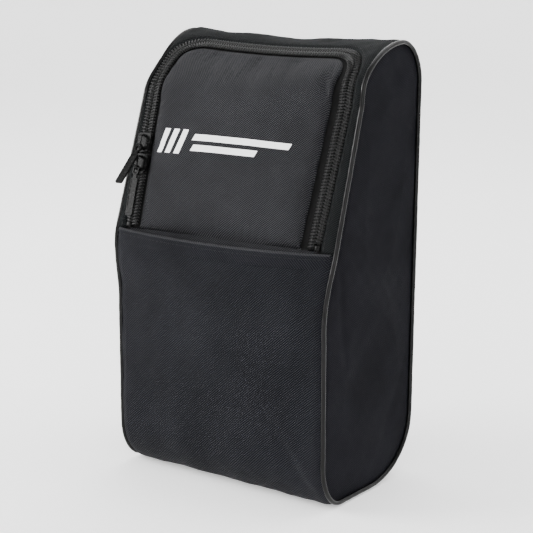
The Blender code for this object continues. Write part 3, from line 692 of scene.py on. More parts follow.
def make_materials():
    n = Nodes("print_white")
    speck = n.noise(1400, 3, 0.7)
    colour = n.ramp(speck, (0.25, grey(0.62)), (0.45, grey(0.86)))
    printed = n.finish(colour, n.spread(speck, 0.45, 0.65), speck, 0.00005, 0.4)
    blue = (0, 0.0002, 0.0020)
    twilled = dict(twill_share=0.40, tint=blue, spec=0.05)
    return {
        "pocket": cloth("pocket_cloth_m", 0.0074, 1.0, 0.0019, depth=0.0006, **twilled),
        "surround": cloth("surround_cloth_m", 0.0066, 0.85, 0.0018, 0.42, (0, 0.0007, 0.0010), sheen=0.0,
                          spec=0.04),
        "flap": cloth("flap_cloth_m", 0.0165, 0.95, 0.0018, 0.35, (0, 0.0002, 0.0018), spec=0.05,
                      depth=0.0006),
        "side": cloth("side_cloth_m", 0.0058, 0.85, 0.0017, 0.45, (0, 0, 0.0015), (0.6, 0.85), 0.0, 0.02),
        "inner": cloth("inner_cloth_m", 0.045, 0.35, 0.0008, tint=(0, 0.0002, 0.0010), rough=(0.6, 0.9)),
        # the hem cloth carries a painted highlight along its folded edge
        "hem": cloth("hem_cloth_m", 0.0070, 1.0, 0.0019, fold_highlight=HEM_HIGHLIGHT_WIDTH, **twilled),
        "binding": tape_cloth("binding_tape_m", 0.013, 0.0010),
        "tape": tape_cloth("zip_tape_m", 0.0042, 0.0009, True, 0.8),
        "webbing": tape_cloth("webbing_m", 0.004, 0.0024, depth=0.0005),
        "piping": coated("piping_m", 0.0028, 0.15, 700, spec=0.13),
        "coil": coated("coil_m", 0.005, 0.28, 1500, spec=0.26),
        "metal": coated("metal_m", 0.003, 0.24, 1200, 0.00003, 0.09),
        "thread": coated("thread_m", 0.004, 0.7, 4000, 0.0001, 0.2),
        "foam": coated("foam_m", 0.42, 0.8, 2200, 0.0004),
        "board": coated("board_m", 0.020, 0.45, 1600, 0.0001),
        "print": printed,
    }


M = make_materials()


# ---------------------------------------------------------------- wrap cloth
def spaced(start, end, step=CLOTH_STEP):
    return np.linspace(start, end, max(2, int(abs(end - start) / step)) + 1)


def wrap(name, start, end, high, slot, finish, node, shift=None):
    """A piece of the wrap between two places of the outline, its sides sewn into the piping."""
    x = np.concatenate([spaced(-TUCK_HALF_WIDTH, -FINE_FROM, 0.001), spaced(-FINE_FROM, FINE_FROM)[1:-1],
                        spaced(FINE_FROM, TUCK_HALF_WIDTH, 0.001)])
    x, s = np.meshgrid(x, spaced(start, end))
    s = s - shift(x, s) if shift else s
    d = high(x, s) - seam_drop(x)
    sheet(name, x, s, d, d - CLOTH_THICKNESS, finish, "root", slot, node)


def hem_dip(x):
    """How far the mouth of the pocket droops at x."""
    return HEM_DIP * np.maximum(1 - (x / 0.098) ** 2, 0) ** 0.8


def make_pocket():
    def lowered(x, s):
        return hem_dip(x) * ease((S_HEM - 0.05, S_HEM), s)

    def high(x, s):
        soft = 0.00055 * ripple(x, s, 0.05, 3) + 0.00018 * ripple(x, s, 0.014, 5)
        foot = 0.0012 * bump_at(x, s, (0.0, 0.045), (0.07, 0.02), 0)
        drag = hills(
            x, s,
            (0.0010, (-0.07, 0.06), (0.02, 0.006), 40),
            (0.0012, (0.070, 0.050), (0.036, 0.0055), -56),
            (-0.0007, (0.079, 0.052), (0.030, 0.0050), -60),
            (0.0007, (0.052, 0.055), (0.034, 0.0060), -50),
        )
        return PANEL_HIGH + pocket_bow(x, s) + soft + foot - drag

    wrap("pocket_cloth", 0.0004, S_HEM, high, "pocket_twill", "pocket", "pocket_panel", lowered)

    x = spaced(-0.0968, 0.0968, 0.0015)
    out, down = np.array(HEM_SECTION).T
    grid_x, grid_out = np.meshgrid(x, out)
    grid_down = np.meshgrid(x, down)[1]
    mouth = S_HEM - hem_dip(grid_x)
    s = mouth - grid_down
    level = PANEL_HIGH + pocket_bow(grid_x, s) - seam_drop(grid_x) + 0.00018 * ripple(grid_x, s, 0.012, 8)
    outer = place(grid_x, s, level + grid_out)
    inner = place(grid_x, mouth - np.clip(grid_down, 0.0002, 0.0094),
                  level + np.clip(grid_out * 0.55, -0.0010, 0.0004))
    hem = shell("pocket_hem", outer, inner, M["hem"], np.stack([grid_x, grid_down], -1))
    fit_out(hem, "root", "binding_tape", "pocket_hem_binding")
    x = spaced(-0.0955, 0.0955, 0.001)
    s = S_HEM - hem_dip(x) - HEM_STITCH_BELOW
    d = PANEL_HIGH + pocket_bow(x, s) - seam_drop(x) + 0.0006
    stitches("pocket_hem_stitches", [seam(x, s, d)], "root", "binding_tape")


def make_front_wall():
    def high(x, s):
        sink = bowed(x, s, BACKING_BOW, BACKING_MOUTH_BOW)
        return -0.0017 - sink + seam_drop(x) + 0.0004 * ripple(x, s, 0.04, 12)

    wrap("pocket_wall", 0.0004, S_HEM, high, "inner_cloth", "inner", "front_panel")


def surround_level(x, s):
    past = zip_offset(x, s) - SURROUND_EDGE
    fold = 0.0013 * np.exp(-((np.maximum(past, 0) / 0.0016) ** 2))
    behind = np.clip((s - S_ZIP_TOP) / 0.02, 0, 1)
    soft = 0.0007 * ripple(x, s, 0.045, 21) * behind + 0.0002 * ripple(x, s, 0.012, 22)
    slack = hills(
        x, s,
        (0.0016, (-0.045, S_ZIP_TOP + 0.022), (0.030, 0.008), 8),
        (0.0013, (0.035, S_ZIP_TOP + 0.030), (0.034, 0.007), -6),
        (-0.0012, (0.0, S_ZIP_TOP + 0.040), (0.06, 0.008), 0),
    )
    pucker = 0.00025 * np.sin(2 * math.pi * (x + s) / 0.006) * np.exp(-np.abs(past - 0.004) / 0.005)
    tucked = 0.0034 * (1 - ease((S_HEM - 0.0030, S_FLAP + 0.0010), s))
    return PANEL_HIGH - fold + soft + slack + pucker - 0.8 * seam_drop(x) - tucked


def make_surround():
    arc_s = S_CORNER + (ZIP_CORNER_RADIUS + SURROUND_EDGE) * np.sin(np.radians(np.linspace(0, 90, 36)))
    s_rows = np.concatenate([spaced(S_HEM - 0.0110, S_CORNER)[:-1], arc_s, spaced(arc_s[-1], S_BACK)[1:]])
    edge = half_width_inside(np.minimum(s_rows, arc_s[-1] - 1e-7), -SURROUND_EDGE)
    lines = []
    side = 1 - np.linspace(1, 0, 16) ** 1.3
    for s, wide in zip(s_rows, edge):
        left, right = ZIP_SHIFT - wide, ZIP_SHIFT + wide
        lines.append(np.concatenate([
            -TUCK_HALF_WIDTH + side * (left + TUCK_HALF_WIDTH),
            np.linspace(left, right, 64)[1:-1],
            right + (1 - side[::-1]) * (TUCK_HALF_WIDTH - right),
        ]))
    x = np.array(lines)
    s = np.repeat(s_rows[:, None], x.shape[1], 1)
    keep = np.ones((len(s_rows) - 1, x.shape[1] - 1), bool)
    open_rows = int(np.argmin(np.abs(s_rows - arc_s[-1])))
    keep[:open_rows, 15:-15] = False
    d = surround_level(x, s)
    sheet("surround_cloth", x, s, d, d - 0.0011, "surround", "root", "pocket_twill", "surround_panel", keep)
    x, s = beside_zip(SURROUND_EDGE + 0.0024)
    stitches("surround_stitches", [seam(x, s, surround_level(x, s))], "root", "pocket_twill")


def make_back_and_base():
    def high(x, s):
        sag = 0.0016 * bump_at(x, s, (0.0, S_BACK + 0.16), (0.07, 0.09), 0)
        return PANEL_HIGH + 0.0006 * ripple(x, s, 0.06, 31) + 0.0002 * ripple(x, s, 0.015, 32) - sag

    def under(x, s):
        return PANEL_HIGH - 0.00035 + 0.0002 * ripple(x, s, 0.03, 35)

    wrap("back_cloth", S_BACK + 0.0003, S_REAR, high, "pocket_twill", "pocket", "back_panel")
    wrap("base_cloth", S_REAR + 0.0003, OUTLINE_LENGTH - 0.0004, under, "side_cloth", "side", "base_panel")
    x = spaced(-0.094, 0.094, 0.001)
    lines = []
    for at, level, drop in ((S_BACK - 0.0022, surround_level, 0), (S_BACK + 0.0026, high, 1),
                            (S_REAR - 0.0026, high, 1), (S_REAR + 0.0026, under, 1)):
        s = np.full(len(x), at)
        lines.append(seam(x, s, level(x, s) - drop * seam_drop(x)))
    stitches("seam_stitches", lines, "root", "pocket_twill")


def make_side(sign, name):
    """Gusset, its piping and the binding inside."""
    count = int(OUTLINE_LENGTH / 0.0022)
    s = np.linspace(0, OUTLINE_LENGTH, count, endpoint=False)
    rim = place(sign * SEAM_HALF_WIDTH, s, GUSSET_RIM)[:, 1:]
    centre = np.array(GUSSET_CENTRE)
    share = 1 - np.linspace(0, 1, 44) ** 1.5
    y = centre[0] + share[None, :] * (rim[:, 0] - centre[0])[:, None]
    z = centre[1] + share[None, :] * (rim[:, 1] - centre[1])[:, None]
    from_rim = (1 - share)[None, :] * np.linalg.norm(rim - centre, axis=1)[:, None]
    puff = 0.0018 * np.clip(from_rim / 0.05, 0, 1) ** 0.7
    tuck = 0.0007 * np.exp(-((from_rim / 0.0042) ** 1.6))
    soft = 0.0006 * ripple(y, z, 0.07, 41 + sign) + 0.00015 * ripple(y, z, 0.015, 47 + sign)
    dent = hills(
        y, z,
        (0.0026, (0.030, 0.318), (0.016, 0.009), 35),
        (0.0006, (-0.044, 0.150), (0.045, 0.004), 96),
        (0.0007, (0.030, 0.060), (0.050, 0.006), 62),
        (-0.0010, (0.015, 0.300), (0.020, 0.006), 35),
    )
    fade = np.clip(from_rim / 0.006, 0, 1)
    x = sign * (GUSSET_AT + (puff + soft - dent) * fade - tuck)
    top = np.stack([x, y, z], -1)
    bottom = top - (sign * 0.0010, 0, 0)
    side = shell(f"{name}_gusset_cloth", top, bottom, M["side"], np.stack([y, z], -1), around=True)
    fit_out(side, "root", "side_cloth", f"{name}_gusset")
    cap_centre(side)

    fine = np.linspace(0, OUTLINE_LENGTH, int(OUTLINE_LENGTH / 0.0015), endpoint=False)
    line = place(sign * SEAM_HALF_WIDTH, fine, 0.0)
    line[:, 0] += sign * 0.00012 * ripple(fine, fine * 0, 0.02, 61)
    radius = PIPING_RADIUS + 0.00006 * ripple(fine, fine * 0, 0.008, 63)
    points, faces = tube(line, radius, 14, True, (1.0, 0.0, 0.0))
    bead = make(f"{name}_piping_bead", points, faces, M["piping"])
    fit_out(bead, "root", "piping_vinyl", f"{name}_piping")

    inner, level = np.array(BINDING_SECTION).T
    s, x = np.meshgrid(fine[::2], inner, indexing="ij")
    rings = place(sign * x, s, np.repeat(level[None, :], len(s), 0) + 0.0001 * ripple(s, x, 0.006, 71))
    uv = np.stack([x, s], -1).reshape(-1, 2)
    faces = ring_faces(*x.shape, closed=True)
    binding = make(f"{name}_inner_binding", rings.reshape(-1, 3), faces, M["binding"], uv, 60)
    fit_out(binding, "root", "binding_tape", f"{name}_seam_binding")
    line, out = seam(sign * 0.0925, fine, -0.0061)
    stitches(f"{name}_binding_stitches", [(line, -out)], "root", "binding_tape")


def cap_centre(obj):
    """Merges the middle ring of a round grid, which has no size, into one point on each face."""
    bm = bmesh.new()
    bm.from_mesh(obj.data)
    bmesh.ops.remove_doubles(bm, verts=bm.verts, dist=1e-7)
    bm.to_mesh(obj.data)
    bm.free()
    obj.data.update()


def make_base_board():
    near, far = BOARD_ENDS[0] - MIDDLE_DEPTH, BOARD_ENDS[1] - MIDDLE_DEPTH
    x, y = np.meshgrid(spaced(-BOARD_HALF_WIDTH, BOARD_HALF_WIDTH, 0.004), spaced(near, far, 0.003))
    middle = (BOARD_ENDS[0] + BOARD_ENDS[1]) / 2 - MIDDLE_DEPTH
    flat_x, flat_y = BOARD_HALF_WIDTH - BOARD_CORNER, BOARD_HALF_DEPTH - BOARD_CORNER
    over_x = np.maximum(np.abs(x) - BOARD_HALF_WIDTH + BOARD_CORNER, 0)
    over_y = np.maximum(np.abs(y - middle) - BOARD_HALF_DEPTH + BOARD_CORNER, 0)
    over = np.hypot(over_x, over_y)
    pull = np.where(over > BOARD_CORNER, BOARD_CORNER / np.maximum(over, 1e-9), 1)
    x = np.where(pull < 1, np.sign(x) * (flat_x + over_x * pull), x)
    y = np.where(pull < 1, middle + np.sign(y - middle) * (flat_y + over_y * pull), y)
    rim = np.minimum(BOARD_HALF_WIDTH - np.abs(x), BOARD_HALF_DEPTH - np.abs(y - middle))
    rounding = 0.0004 * np.exp(-np.maximum(rim, 0) / 0.0006)
    warp = 0.0003 * ripple(x, y, 0.08, 81)
    low, high = BOARD_LEVELS
    top, bottom = stand(x, y, high + warp - rounding), stand(x, y, low + warp + rounding)
    board = shell("base_board_panel", top, bottom, M["board"], np.stack([x, y], -1))
    fit_out(board, "root", "board", "base_board")


def make_handle():
    s_middle = at_height(HANDLE_HEIGHT + BASE_LIFT, rising=False)
    free = HANDLE_HALF_SPAN - HANDLE_END
    x, s = np.meshgrid(spaced(-HANDLE_HALF_SPAN, HANDLE_HALF_SPAN, 0.0015),
                       s_middle + np.linspace(-0.5, 0.5, 15) * HANDLE_WEBBING)
    share = np.abs((s - s_middle) / (HANDLE_WEBBING / 2))
    bow = HANDLE_BOW * (0.5 + 0.5 * np.cos(math.pi * np.minimum(np.abs(x) / free, 1))) ** HANDLE_ARCH
    squeeze = 1 - 0.14 * (bow / HANDLE_BOW)
    s = s_middle + (s - s_middle) * squeeze
    half = HANDLE_THICKNESS / 2 * (1 - 0.55 * share**8)
    cup = 0.0008 * share**2 * (bow / HANDLE_BOW)
    level = HANDLE_LEVEL + HANDLE_THICKNESS / 2 + bow - cup + 0.0002 * ripple(x, s, 0.02, 91)
    strap = shell("grab_handle", place(x, s, level + half), place(x, s, level - half), M["webbing"],
                  np.stack([s, x], -1))
    fit_out(strap, "root", "webbing", "carry_handle")
    lines = []
    far, near = HANDLE_HALF_SPAN - STITCH_INSET, free + STITCH_INSET
    reach = HANDLE_WEBBING / 2 - STITCH_INSET
    for sign in (-1, 1):
        corners = [(far, -reach), (far, reach), (near, reach), (near, -reach), (far, -reach), (near, reach),
                   (near, -reach), (far, reach)]
        for (xa, sa), (xb, sb) in zip(corners, corners[1:]):
            share = np.linspace(0, 1, 12)
            xs, ss = sign * (xa + (xb - xa) * share), s_middle + sa + (sb - sa) * share
            lines.append(seam(xs, ss, HANDLE_LEVEL + HANDLE_THICKNESS + 0.0001))
    stitches("handle_stitches", lines, "root", "webbing", 0.0003)


# ---------------------------------------------------------------- zip
def tape(name, near, far, body, node, below=0.0):
    zip_x, zip_s, across = zip_line(TAPE_STEP)
    legs = np.linspace(below, 0, int(below / TAPE_STEP), endpoint=False)
    zip_x = np.concatenate([np.full(len(legs), zip_x[0]), zip_x, np.full(len(legs), zip_x[-1])])
    zip_s = np.concatenate([zip_s[0] - legs, zip_s, zip_s[-1] - legs[::-1]])
    first, last = np.repeat(across[:1], len(legs), 0), np.repeat(across[-1:], len(legs), 0)
    across = np.concatenate([first, across, last])
    off, along = np.meshgrid(np.linspace(near, far, 12), np.arange(len(zip_x)) * TAPE_STEP)
    x = np.clip(zip_x[:, None] + across[:, :1] * off, -TAPE_REACH, TAPE_REACH)
    s = zip_s[:, None] + across[:, 1:] * off
    d = -0.0004 + 0.00006 * ripple(along, off, 0.01, 101)
    d = d - 0.00015 * np.exp(-(np.abs(off) - 0.0005) / 0.0004)
    uv = np.stack([off, along], -1)
    fit_out(shell(name, place(x, s, d), place(x, s, d - 0.0006), M["tape"], uv), body, "zip_tape", node)


def coil(name, sign, start, body, node):
    """One continuous nylon filament wound along the tape's edge, its loops being the teeth."""
    zip_x, zip_s, across = zip_line(COIL_STEP)
    total = (len(zip_x) - 1) * COIL_STEP
    turns = int((total - 2 * start) / TOOTH_PITCH)
    t = np.linspace(0, turns, turns * 12 + 1)
    along = start + t * TOOTH_PITCH + (0.0 if sign > 0 else TOOTH_PITCH / 2)
    along = along + 0.00028 * np.sin(2 * math.pi * t)
    along = np.clip(along, 0, total)
    step = np.arange(len(zip_x)) * COIL_STEP
    x0, s0, ax, az = (np.interp(along, step, k) for k in (zip_x, zip_s, across[:, 0], across[:, 1]))
    swing = np.cos(2 * math.pi * t)
    off = sign * (0.0029 - np.sign(swing) * np.abs(swing) ** 0.75 * 0.0024)
    d = COIL_LEVEL + 0.00052 * np.sin(2 * math.pi * t)
    wire = tube(place(x0 + ax * off, s0 + az * off, d), WIRE_RADIUS, 6)
    core_x, core_s = x0[::3] + ax[::3] * sign * CORE_OFF, s0[::3] + az[::3] * sign * CORE_OFF
    core = tube(place(core_x, core_s, COIL_LEVEL), CORE_RADIUS, 6)
    points, faces = join_parts([wire, core])
    fit_out(make(name, points, faces, M["coil"]), body, "nylon_coil", node)
    lines = []
    for inset in (0.0027, 0.0043):
        x, s = zip_x[::5] + across[::5, 0] * sign * inset, zip_s[::5] + across[::5, 1] * sign * inset
        lines.append(seam(x, s, 0.0021))
    stitches(f"{name}_thread", lines, body, "zip_tape", 0.00022)


def make_stop(side, name):
    turn = np.linspace(0, 2 * math.pi, 16, endpoint=False)
    rows = []
    for share in np.linspace(0, 1, 9):
        s = S_FLAP + 0.0001 + share * (STOP_LENGTH - 0.0002)
        x0 = ZIP_SHIFT + side * leg_half_width(s)
        swell = 1 - abs(2 * share - 1) ** 6 * 0.4
        off = 0.0027 + 0.0021 * np.sign(np.cos(turn)) * np.abs(np.cos(turn)) ** 0.55
        d = COIL_LEVEL + 0.0011 * swell * np.sign(np.sin(turn)) * np.abs(np.sin(turn)) ** 0.55
        rows.append(place(x0 + side * off, s, d))
    faces = ring_faces(len(rows), len(turn)) + end_faces(len(rows), len(turn))
    stop = make(f"{name}_bottom_stop", np.concatenate(rows), faces, M["metal"])
    fit_out(stop, "root", "black_metal", f"{name}_zip_stop")


def make_zip():
    tape("outer_tape", 0.0004, TAPE_HALF_WIDTH, "root", "zip_tape_outer", 0.0080)
    tape("inner_tape", -0.0004, -TAPE_HALF_WIDTH, "flap", "zip_tape_inner")
    coil("outer_coil", 1, STOP_LENGTH + 0.0004, "root", "zip_coil_outer")
    coil("inner_coil", -1, 0.0006, "flap", "zip_coil_inner")
    make_stop(-1, "left")
    make_stop(1, "right")


# ---------------------------------------------------------------- flap
def fold_fade(s):
    """The flap's folded right edge evens out towards the top of the zip."""
    return 1 - ease((S_CORNER - 0.01, S_ZIP_TOP), s)


def flap_grid(inset, rows, columns, fold=0.0):
    """Places inside the zip, in rows up the flap whose ends follow the rounded corners."""
    radius = ZIP_CORNER_RADIUS - inset
    angles = np.radians(np.linspace(0, 90, 16))
    s_rows = np.concatenate([np.linspace(S_FLAP, S_CORNER, rows)[:-1], S_CORNER + radius * np.sin(angles)])
    wide = half_width_inside(s_rows, inset)
    share = np.linspace(-1, 1, columns)
    x = ZIP_SHIFT + wide[:, None] * share[None, :]
    folded = fold * np.maximum(share, 0)[None, :] ** 2 * fold_fade(s_rows)[:, None]
    return x - folded, np.repeat(s_rows[:, None], columns, 1)


def edge_distance(x, s, inset):
    """How far inside the flap's edge a place is, its lower edge included."""
    return np.minimum(-zip_offset(x, s) - inset, s - S_FLAP)


def inflate(top, bottom, pinned):
    """Blows a closed cloth body up a little in a cloth simulation and returns where its top went."""
    rows, columns = top.shape[:2]
    index = np.arange(rows * columns).reshape(rows, columns)
    cells = grid_cells(index).reshape(-1, 4)
    ring = np.concatenate([index[0, :-1], index[:-1, -1], index[-1, :0:-1], index[:0:-1, 0]])
    under = rows * columns
    walls = [[a + under, b + under, b, a] for a, b in zip(ring, np.roll(ring, -1))]
    faces = cells.tolist() + (cells[:, ::-1] + under).tolist() + walls
    points = np.concatenate([top.reshape(-1, 3), bottom.reshape(-1, 3)]) * SIM_SCALE
    body = make("pad_trial", points, faces, M["flap"])
    group = body.vertex_groups.new(name="held")
    held = np.concatenate([pinned.ravel(), np.ones(under, bool)])
    group.add(np.flatnonzero(held).tolist(), 1.0, "REPLACE")
    simulation = body.modifiers.new("Cloth", "CLOTH")
    for key, value in SIM_SETTINGS.items():
        setattr(simulation.settings, key, value)
    simulation.settings.effector_weights.gravity = 0
    simulation.point_cache.frame_start = 1
    simulation.point_cache.frame_end = SIM_FRAMES
    scene = bpy.context.scene
    for step in range(1, SIM_FRAMES + 1):
        scene.frame_set(step)
    found = body.evaluated_get(bpy.context.evaluated_depsgraph_get()).to_mesh()
    moved = np.zeros(len(points) * 3, np.float32)
    found.vertices.foreach_get("co", moved)
    bpy.data.objects.remove(body)
    scene.frame_set(1)
    return (moved.reshape(-1, 3)[:under] / SIM_SCALE).reshape(rows, columns, 3).astype(float)


def flap_face():
    """The padded face as grids: places in the pattern and top points."""
    x, s = flap_grid(FLAP_EDGE, 58, 84, RIGHT_FOLD)
    folded = RIGHT_FOLD * np.clip(x / 0.08, 0, 1) ** 2 * fold_fade(s)
    inside = np.maximum(edge_distance(x + folded, s, FLAP_EDGE), 0)
    below_top = S_ZIP_TOP - FLAP_EDGE - s
    roll = np.sqrt(np.clip(1 - (1 - np.clip(inside / 0.0040, 0, 1)) ** 2, 0, 1))
    near_top = 1 - ease((0.004, 0.030), below_top)
    top, outs = seam(x, s, 0.0003 + (0.0019 - 0.0009 * near_top) * roll + flap_crown(x, s))
    shift = inflate(top, place(x, s, -0.0006), inside < 0.0012) - top
    rise = (shift * outs).sum(-1)
    slide = shift - rise[..., None] * outs
    rise = PAD_RISE * np.tanh(rise / PAD_RISE) * (1 - 0.65 * near_top)
    reach = np.linalg.norm(slide, axis=-1)
    slide = slide * (np.minimum(reach, PAD_SLIDE) / np.maximum(reach, 1e-9))[..., None]
    top = top + outs * rise[..., None] + slide
    sway = x - FOLD_LEAN * below_top + 0.004 * ripple(x, s, 0.05, 111)
    drape = 0
    for at in FLAP_FOLDS:
        across = ((sway - at) / FOLD_WIDTH) ** 2
        drape = drape - FOLD_DEPTH * np.exp(-across - ((below_top / FOLD_LENGTH) ** 2))
    fall = 0.0005 * ripple(x, s, 0.045, 113)
    return x, s, top + outs * ((drape + fall) * np.clip(inside / 0.006, 0, 1))[..., None]


def sample(grid, row, column):
    """Bilinear read of a grid of points at fractional rows and columns."""
    i = np.clip(np.floor(row).astype(int), 0, grid.shape[0] - 2)
    j = np.clip(np.floor(column).astype(int), 0, grid.shape[1] - 2)
    a, b = (row - i)[..., None], (column - j)[..., None]
    low = grid[i, j] * (1 - b) + grid[i, j + 1] * b
    high = grid[i + 1, j] * (1 - b) + grid[i + 1, j + 1] * b
    return low * (1 - a) + high * a


def make_flap():
    x, s, top = flap_face()
    pad = shell("flap_pad", top, place(x, s, 0.0001), M["flap"], np.stack([x, s], -1))
    fit_out(pad, "flap", "flap_cloth", "flap_panel")
    make_print(x, s, top)

    x, s = flap_grid(FOAM_EDGE, 30, 40)
    squash = 0.0005 * np.exp(-np.maximum(edge_distance(x, s, FOAM_EDGE), 0) / 0.002)
    high, low = -0.0009 + 0.6 * flap_crown(x, s) - squash, -0.0028 + squash
    sheet("flap_foam_pad", x, s, high, low, "foam", "flap", "foam", "flap_foam")

    x, s = flap_grid(LINING_EDGE, 46, 64)
    inside = edge_distance(x, s, LINING_EDGE)
    soft = 0.0003 * ripple(x, s, 0.03, 121) * np.clip(inside / 0.01, 0, 1)
    sew = 0.0004 * np.exp(-((inside - 0.003) / 0.0012) ** 2)
    low = -0.0044 + soft + sew
    sheet("flap_back_cloth", x, s, -0.0034, low, "inner", "flap", "inner_cloth", "flap_lining")
    line, out = seam(*beside_zip(-LINING_EDGE - 0.003), -0.0041)
    stitches("flap_back_stitches", [(line, -out)], "flap", "inner_cloth")


def make_print(x, s, top):
    """Plain white ink on the flap: three leaning lozenges and two bars, following the cloth."""
    rows, columns = x.shape
    centre_s = at_height(PRINT_HEIGHT + BASE_LIFT)

    def on_flap(px, ps):
        row = np.interp(ps, s[:, 0], np.arange(rows))
        wide = np.interp(ps, s[:, 0], (x[:, -1] - x[:, 0]) / 2)
        column = ((px - ZIP_SHIFT) / wide + 1) / 2 * (columns - 1)
        here = sample(top, row, column)
        along = sample(top, row, column + 0.4) - here
        up = sample(top, row + 0.4, column) - here
        out = np.cross(along, up)
        return here + INK_LIFT * out / np.linalg.norm(out, axis=-1)[..., None]

    def patch(corners):
        a, b, c, e = (np.array(p) for p in corners)
        length = np.linalg.norm(b - a)
        u, v = np.meshgrid(np.linspace(0, 1, max(3, int(length / 0.0015))), np.linspace(0, 1, 8))
        u, v = u[..., None], v[..., None]
        flat = (a * (1 - u) + b * u) * (1 - v) + (e * (1 - u) + c * u) * v
        over = on_flap(flat[..., 0], flat[..., 1] + centre_s)
        index = np.arange(over[..., 0].size).reshape(over.shape[:2])
        return over.reshape(-1, 3), grid_cells(index).reshape(-1, 4).tolist()

    shapes = []
    lean, tall, wide = 0.0050, 0.0095, 0.0050
    for i in range(3):
        left = -0.0700 + i * 0.0085
        low, high = [(left, -tall), (left + wide, -tall)], [(left + lean + wide, tall), (left + lean, tall)]
        shapes.append(patch(low + high))
    for low, high, right in ((0.0016, 0.0064, 0.0480), (-0.0064, -0.0016, 0.0180)):
        shapes.append(patch([(-0.0385, low), (right, low), (right + 0.0024, high), (-0.0361, high)]))
    points, faces = join_parts(shapes)
    fit_out(make("flap_print", points, faces, M["print"]), "flap", "flap_cloth")


def make_hinge_strip():
    """Cloth that joins the flap's lower edge to the wall behind the pocket."""
    x, t = np.meshgrid(spaced(-0.0885, 0.0841, 0.0025), np.linspace(0, 1, 30))
    above = 0.0077 * (1 - ease((0.0640, 0.0690), np.abs(x - ZIP_SHIFT))) - 0.0003
    s = S_HEM - HINGE_BELOW + t * (FLAP_ABOVE_HEM + HINGE_BELOW + above)
    hidden = ease((S_FLAP, S_HEM - 0.008), s)
    d = -0.0001 + hidden * (0.18 * pocket_bow(x, s) - 0.0007)
    d = d - 0.0002 * ease((S_FLAP, S_FLAP + 0.004), s)
    top, bottom = place(x, s, d), place(x, s, d - 0.0004)
    strip = shell("flap_hinge_cloth", top, bottom, M["flap"], np.stack([x, s], -1))
    start, end = (Vector(place(0.0, at, 0.0).tolist()) for at in (S_HEM - 0.0080, S_FLAP + 0.0010))
    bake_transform(strip)


# ---------------------------------------------------------------- sliders and pulls
def slider_frames():
    """Each slider's own axes, from the frame's joints: x across the chain, y up it, z out."""
    joints = {joint["name"]: joint for joint in frame["joints"]}
    found = {}
    for which in ("lower", "upper"):
        up = Vector(joints[f"{which}_slider_travel"]["axis"]).normalized()
        swing = joints[f"{which}_pull_swing"]
        across = Vector(swing["axis"]).normalized()
        out = across.cross(up).normalized()
        origin = Vector(swing["pos_m"]) + PIVOT_DOWN * up - PIVOT_OUT * out
        found[which] = Matrix.Translation(origin) @ Matrix((across, up, out)).transposed().to_4x4()
    return found


def bevelled(parts, name, matrix, width):
    """A metal piece from bmeshes in its own frame, its hard edges rounded."""
    whole = bmesh.new()
    for bm in parts:
        edges = [e for e in bm.edges if len(e.link_faces) == 2 and e.calc_face_angle() > HARD_EDGE]
        bmesh.ops.bevel(bm, geom=edges, offset=width, segments=2, affect="EDGES", clamp_overlap=True)
        mesh = bpy.data.meshes.new("part")
        bm.to_mesh(mesh)
        bm.free()
        whole.from_mesh(mesh)
        bpy.data.meshes.remove(mesh)
    bmesh.ops.recalc_face_normals(whole, faces=whole.faces)
    whole.transform(matrix)
    mesh = bpy.data.meshes.new(name)
    whole.to_mesh(mesh)
    whole.free()
    return shaded(name, mesh, M["metal"], 40)


def slab(outline, low, high):
    """A closed flat body from a 2-D outline, pushed from low to high along the third axis."""
    bm = bmesh.new()
    rings = [[bm.verts.new((a, b, z)) for a, b in outline] for z in (low, high)]
    bm.faces.new(rings[0][::-1])
    bm.faces.new(rings[1])
    for i in range(len(outline)):
        j = (i + 1) % len(outline)
        bm.faces.new([rings[0][i], rings[0][j], rings[1][j], rings[1][i]])
    return bm


def rounded(half_x, low_y, high_y, radius, steps=5):
    """A rectangle with rounded corners."""
    points = []
    for cx, cy, start in ((half_x - radius, high_y - radius, 0), (radius - half_x, high_y - radius, 90),
                          (radius - half_x, low_y + radius, 180), (half_x - radius, low_y + radius, 270)):
        for a in np.radians(np.linspace(start, start + 90, steps)):
            points.append((cx + radius * math.cos(a), cy + radius * math.sin(a)))
    return points


def strap(line, half_width, half_thick):
    """A flat bar bent along a line in the y, z plane."""
    bm = bmesh.new()
    line = np.array(line)
    rings = []
    for i, (y, z) in enumerate(line):
        ahead = line[min(i + 1, len(line) - 1)] - line[max(i - 1, 0)]
        side = np.array([-ahead[1], ahead[0]]) / np.linalg.norm(ahead)
        corners = []
        for across, out in ((-1, -1), (1, -1), (1, 1), (-1, 1)):
            point = np.array([y, z]) + side * half_thick * out
            corners.append(bm.verts.new((across * half_width, point[0], point[1])))
        rings.append(corners)
    for one, other in zip(rings, rings[1:]):
        for i in range(4):
            bm.faces.new([one[i], one[(i + 1) % 4], other[(i + 1) % 4], other[i]])
    bm.faces.new(rings[0][::-1])
    bm.faces.new(rings[-1])
    return bm


def ring_slab(outside, inside, low, high):
    """A flat body with one hole."""
    bm = bmesh.new()
    levels = []
    for z in (low, high):
        loops = [[bm.verts.new((a, b, z)) for a, b in line] for line in (outside, inside)]
        edges = [bm.edges.new((a, b)) for loop in loops for a, b in zip(loop, loop[1:] + loop[:1])]
        bmesh.ops.triangle_fill(bm, use_beauty=True, edges=edges)
        levels.append(loops)
    for one, other in zip(*levels):
        for i in range(len(one)):
            j = (i + 1) % len(one)
            bm.faces.new([one[i], one[j], other[j], other[i]])
    bmesh.ops.recalc_face_normals(bm, faces=bm.faces)
    bmesh.ops.dissolve_limit(bm, angle_limit=0.01, verts=bm.verts, edges=bm.edges)
    return bm


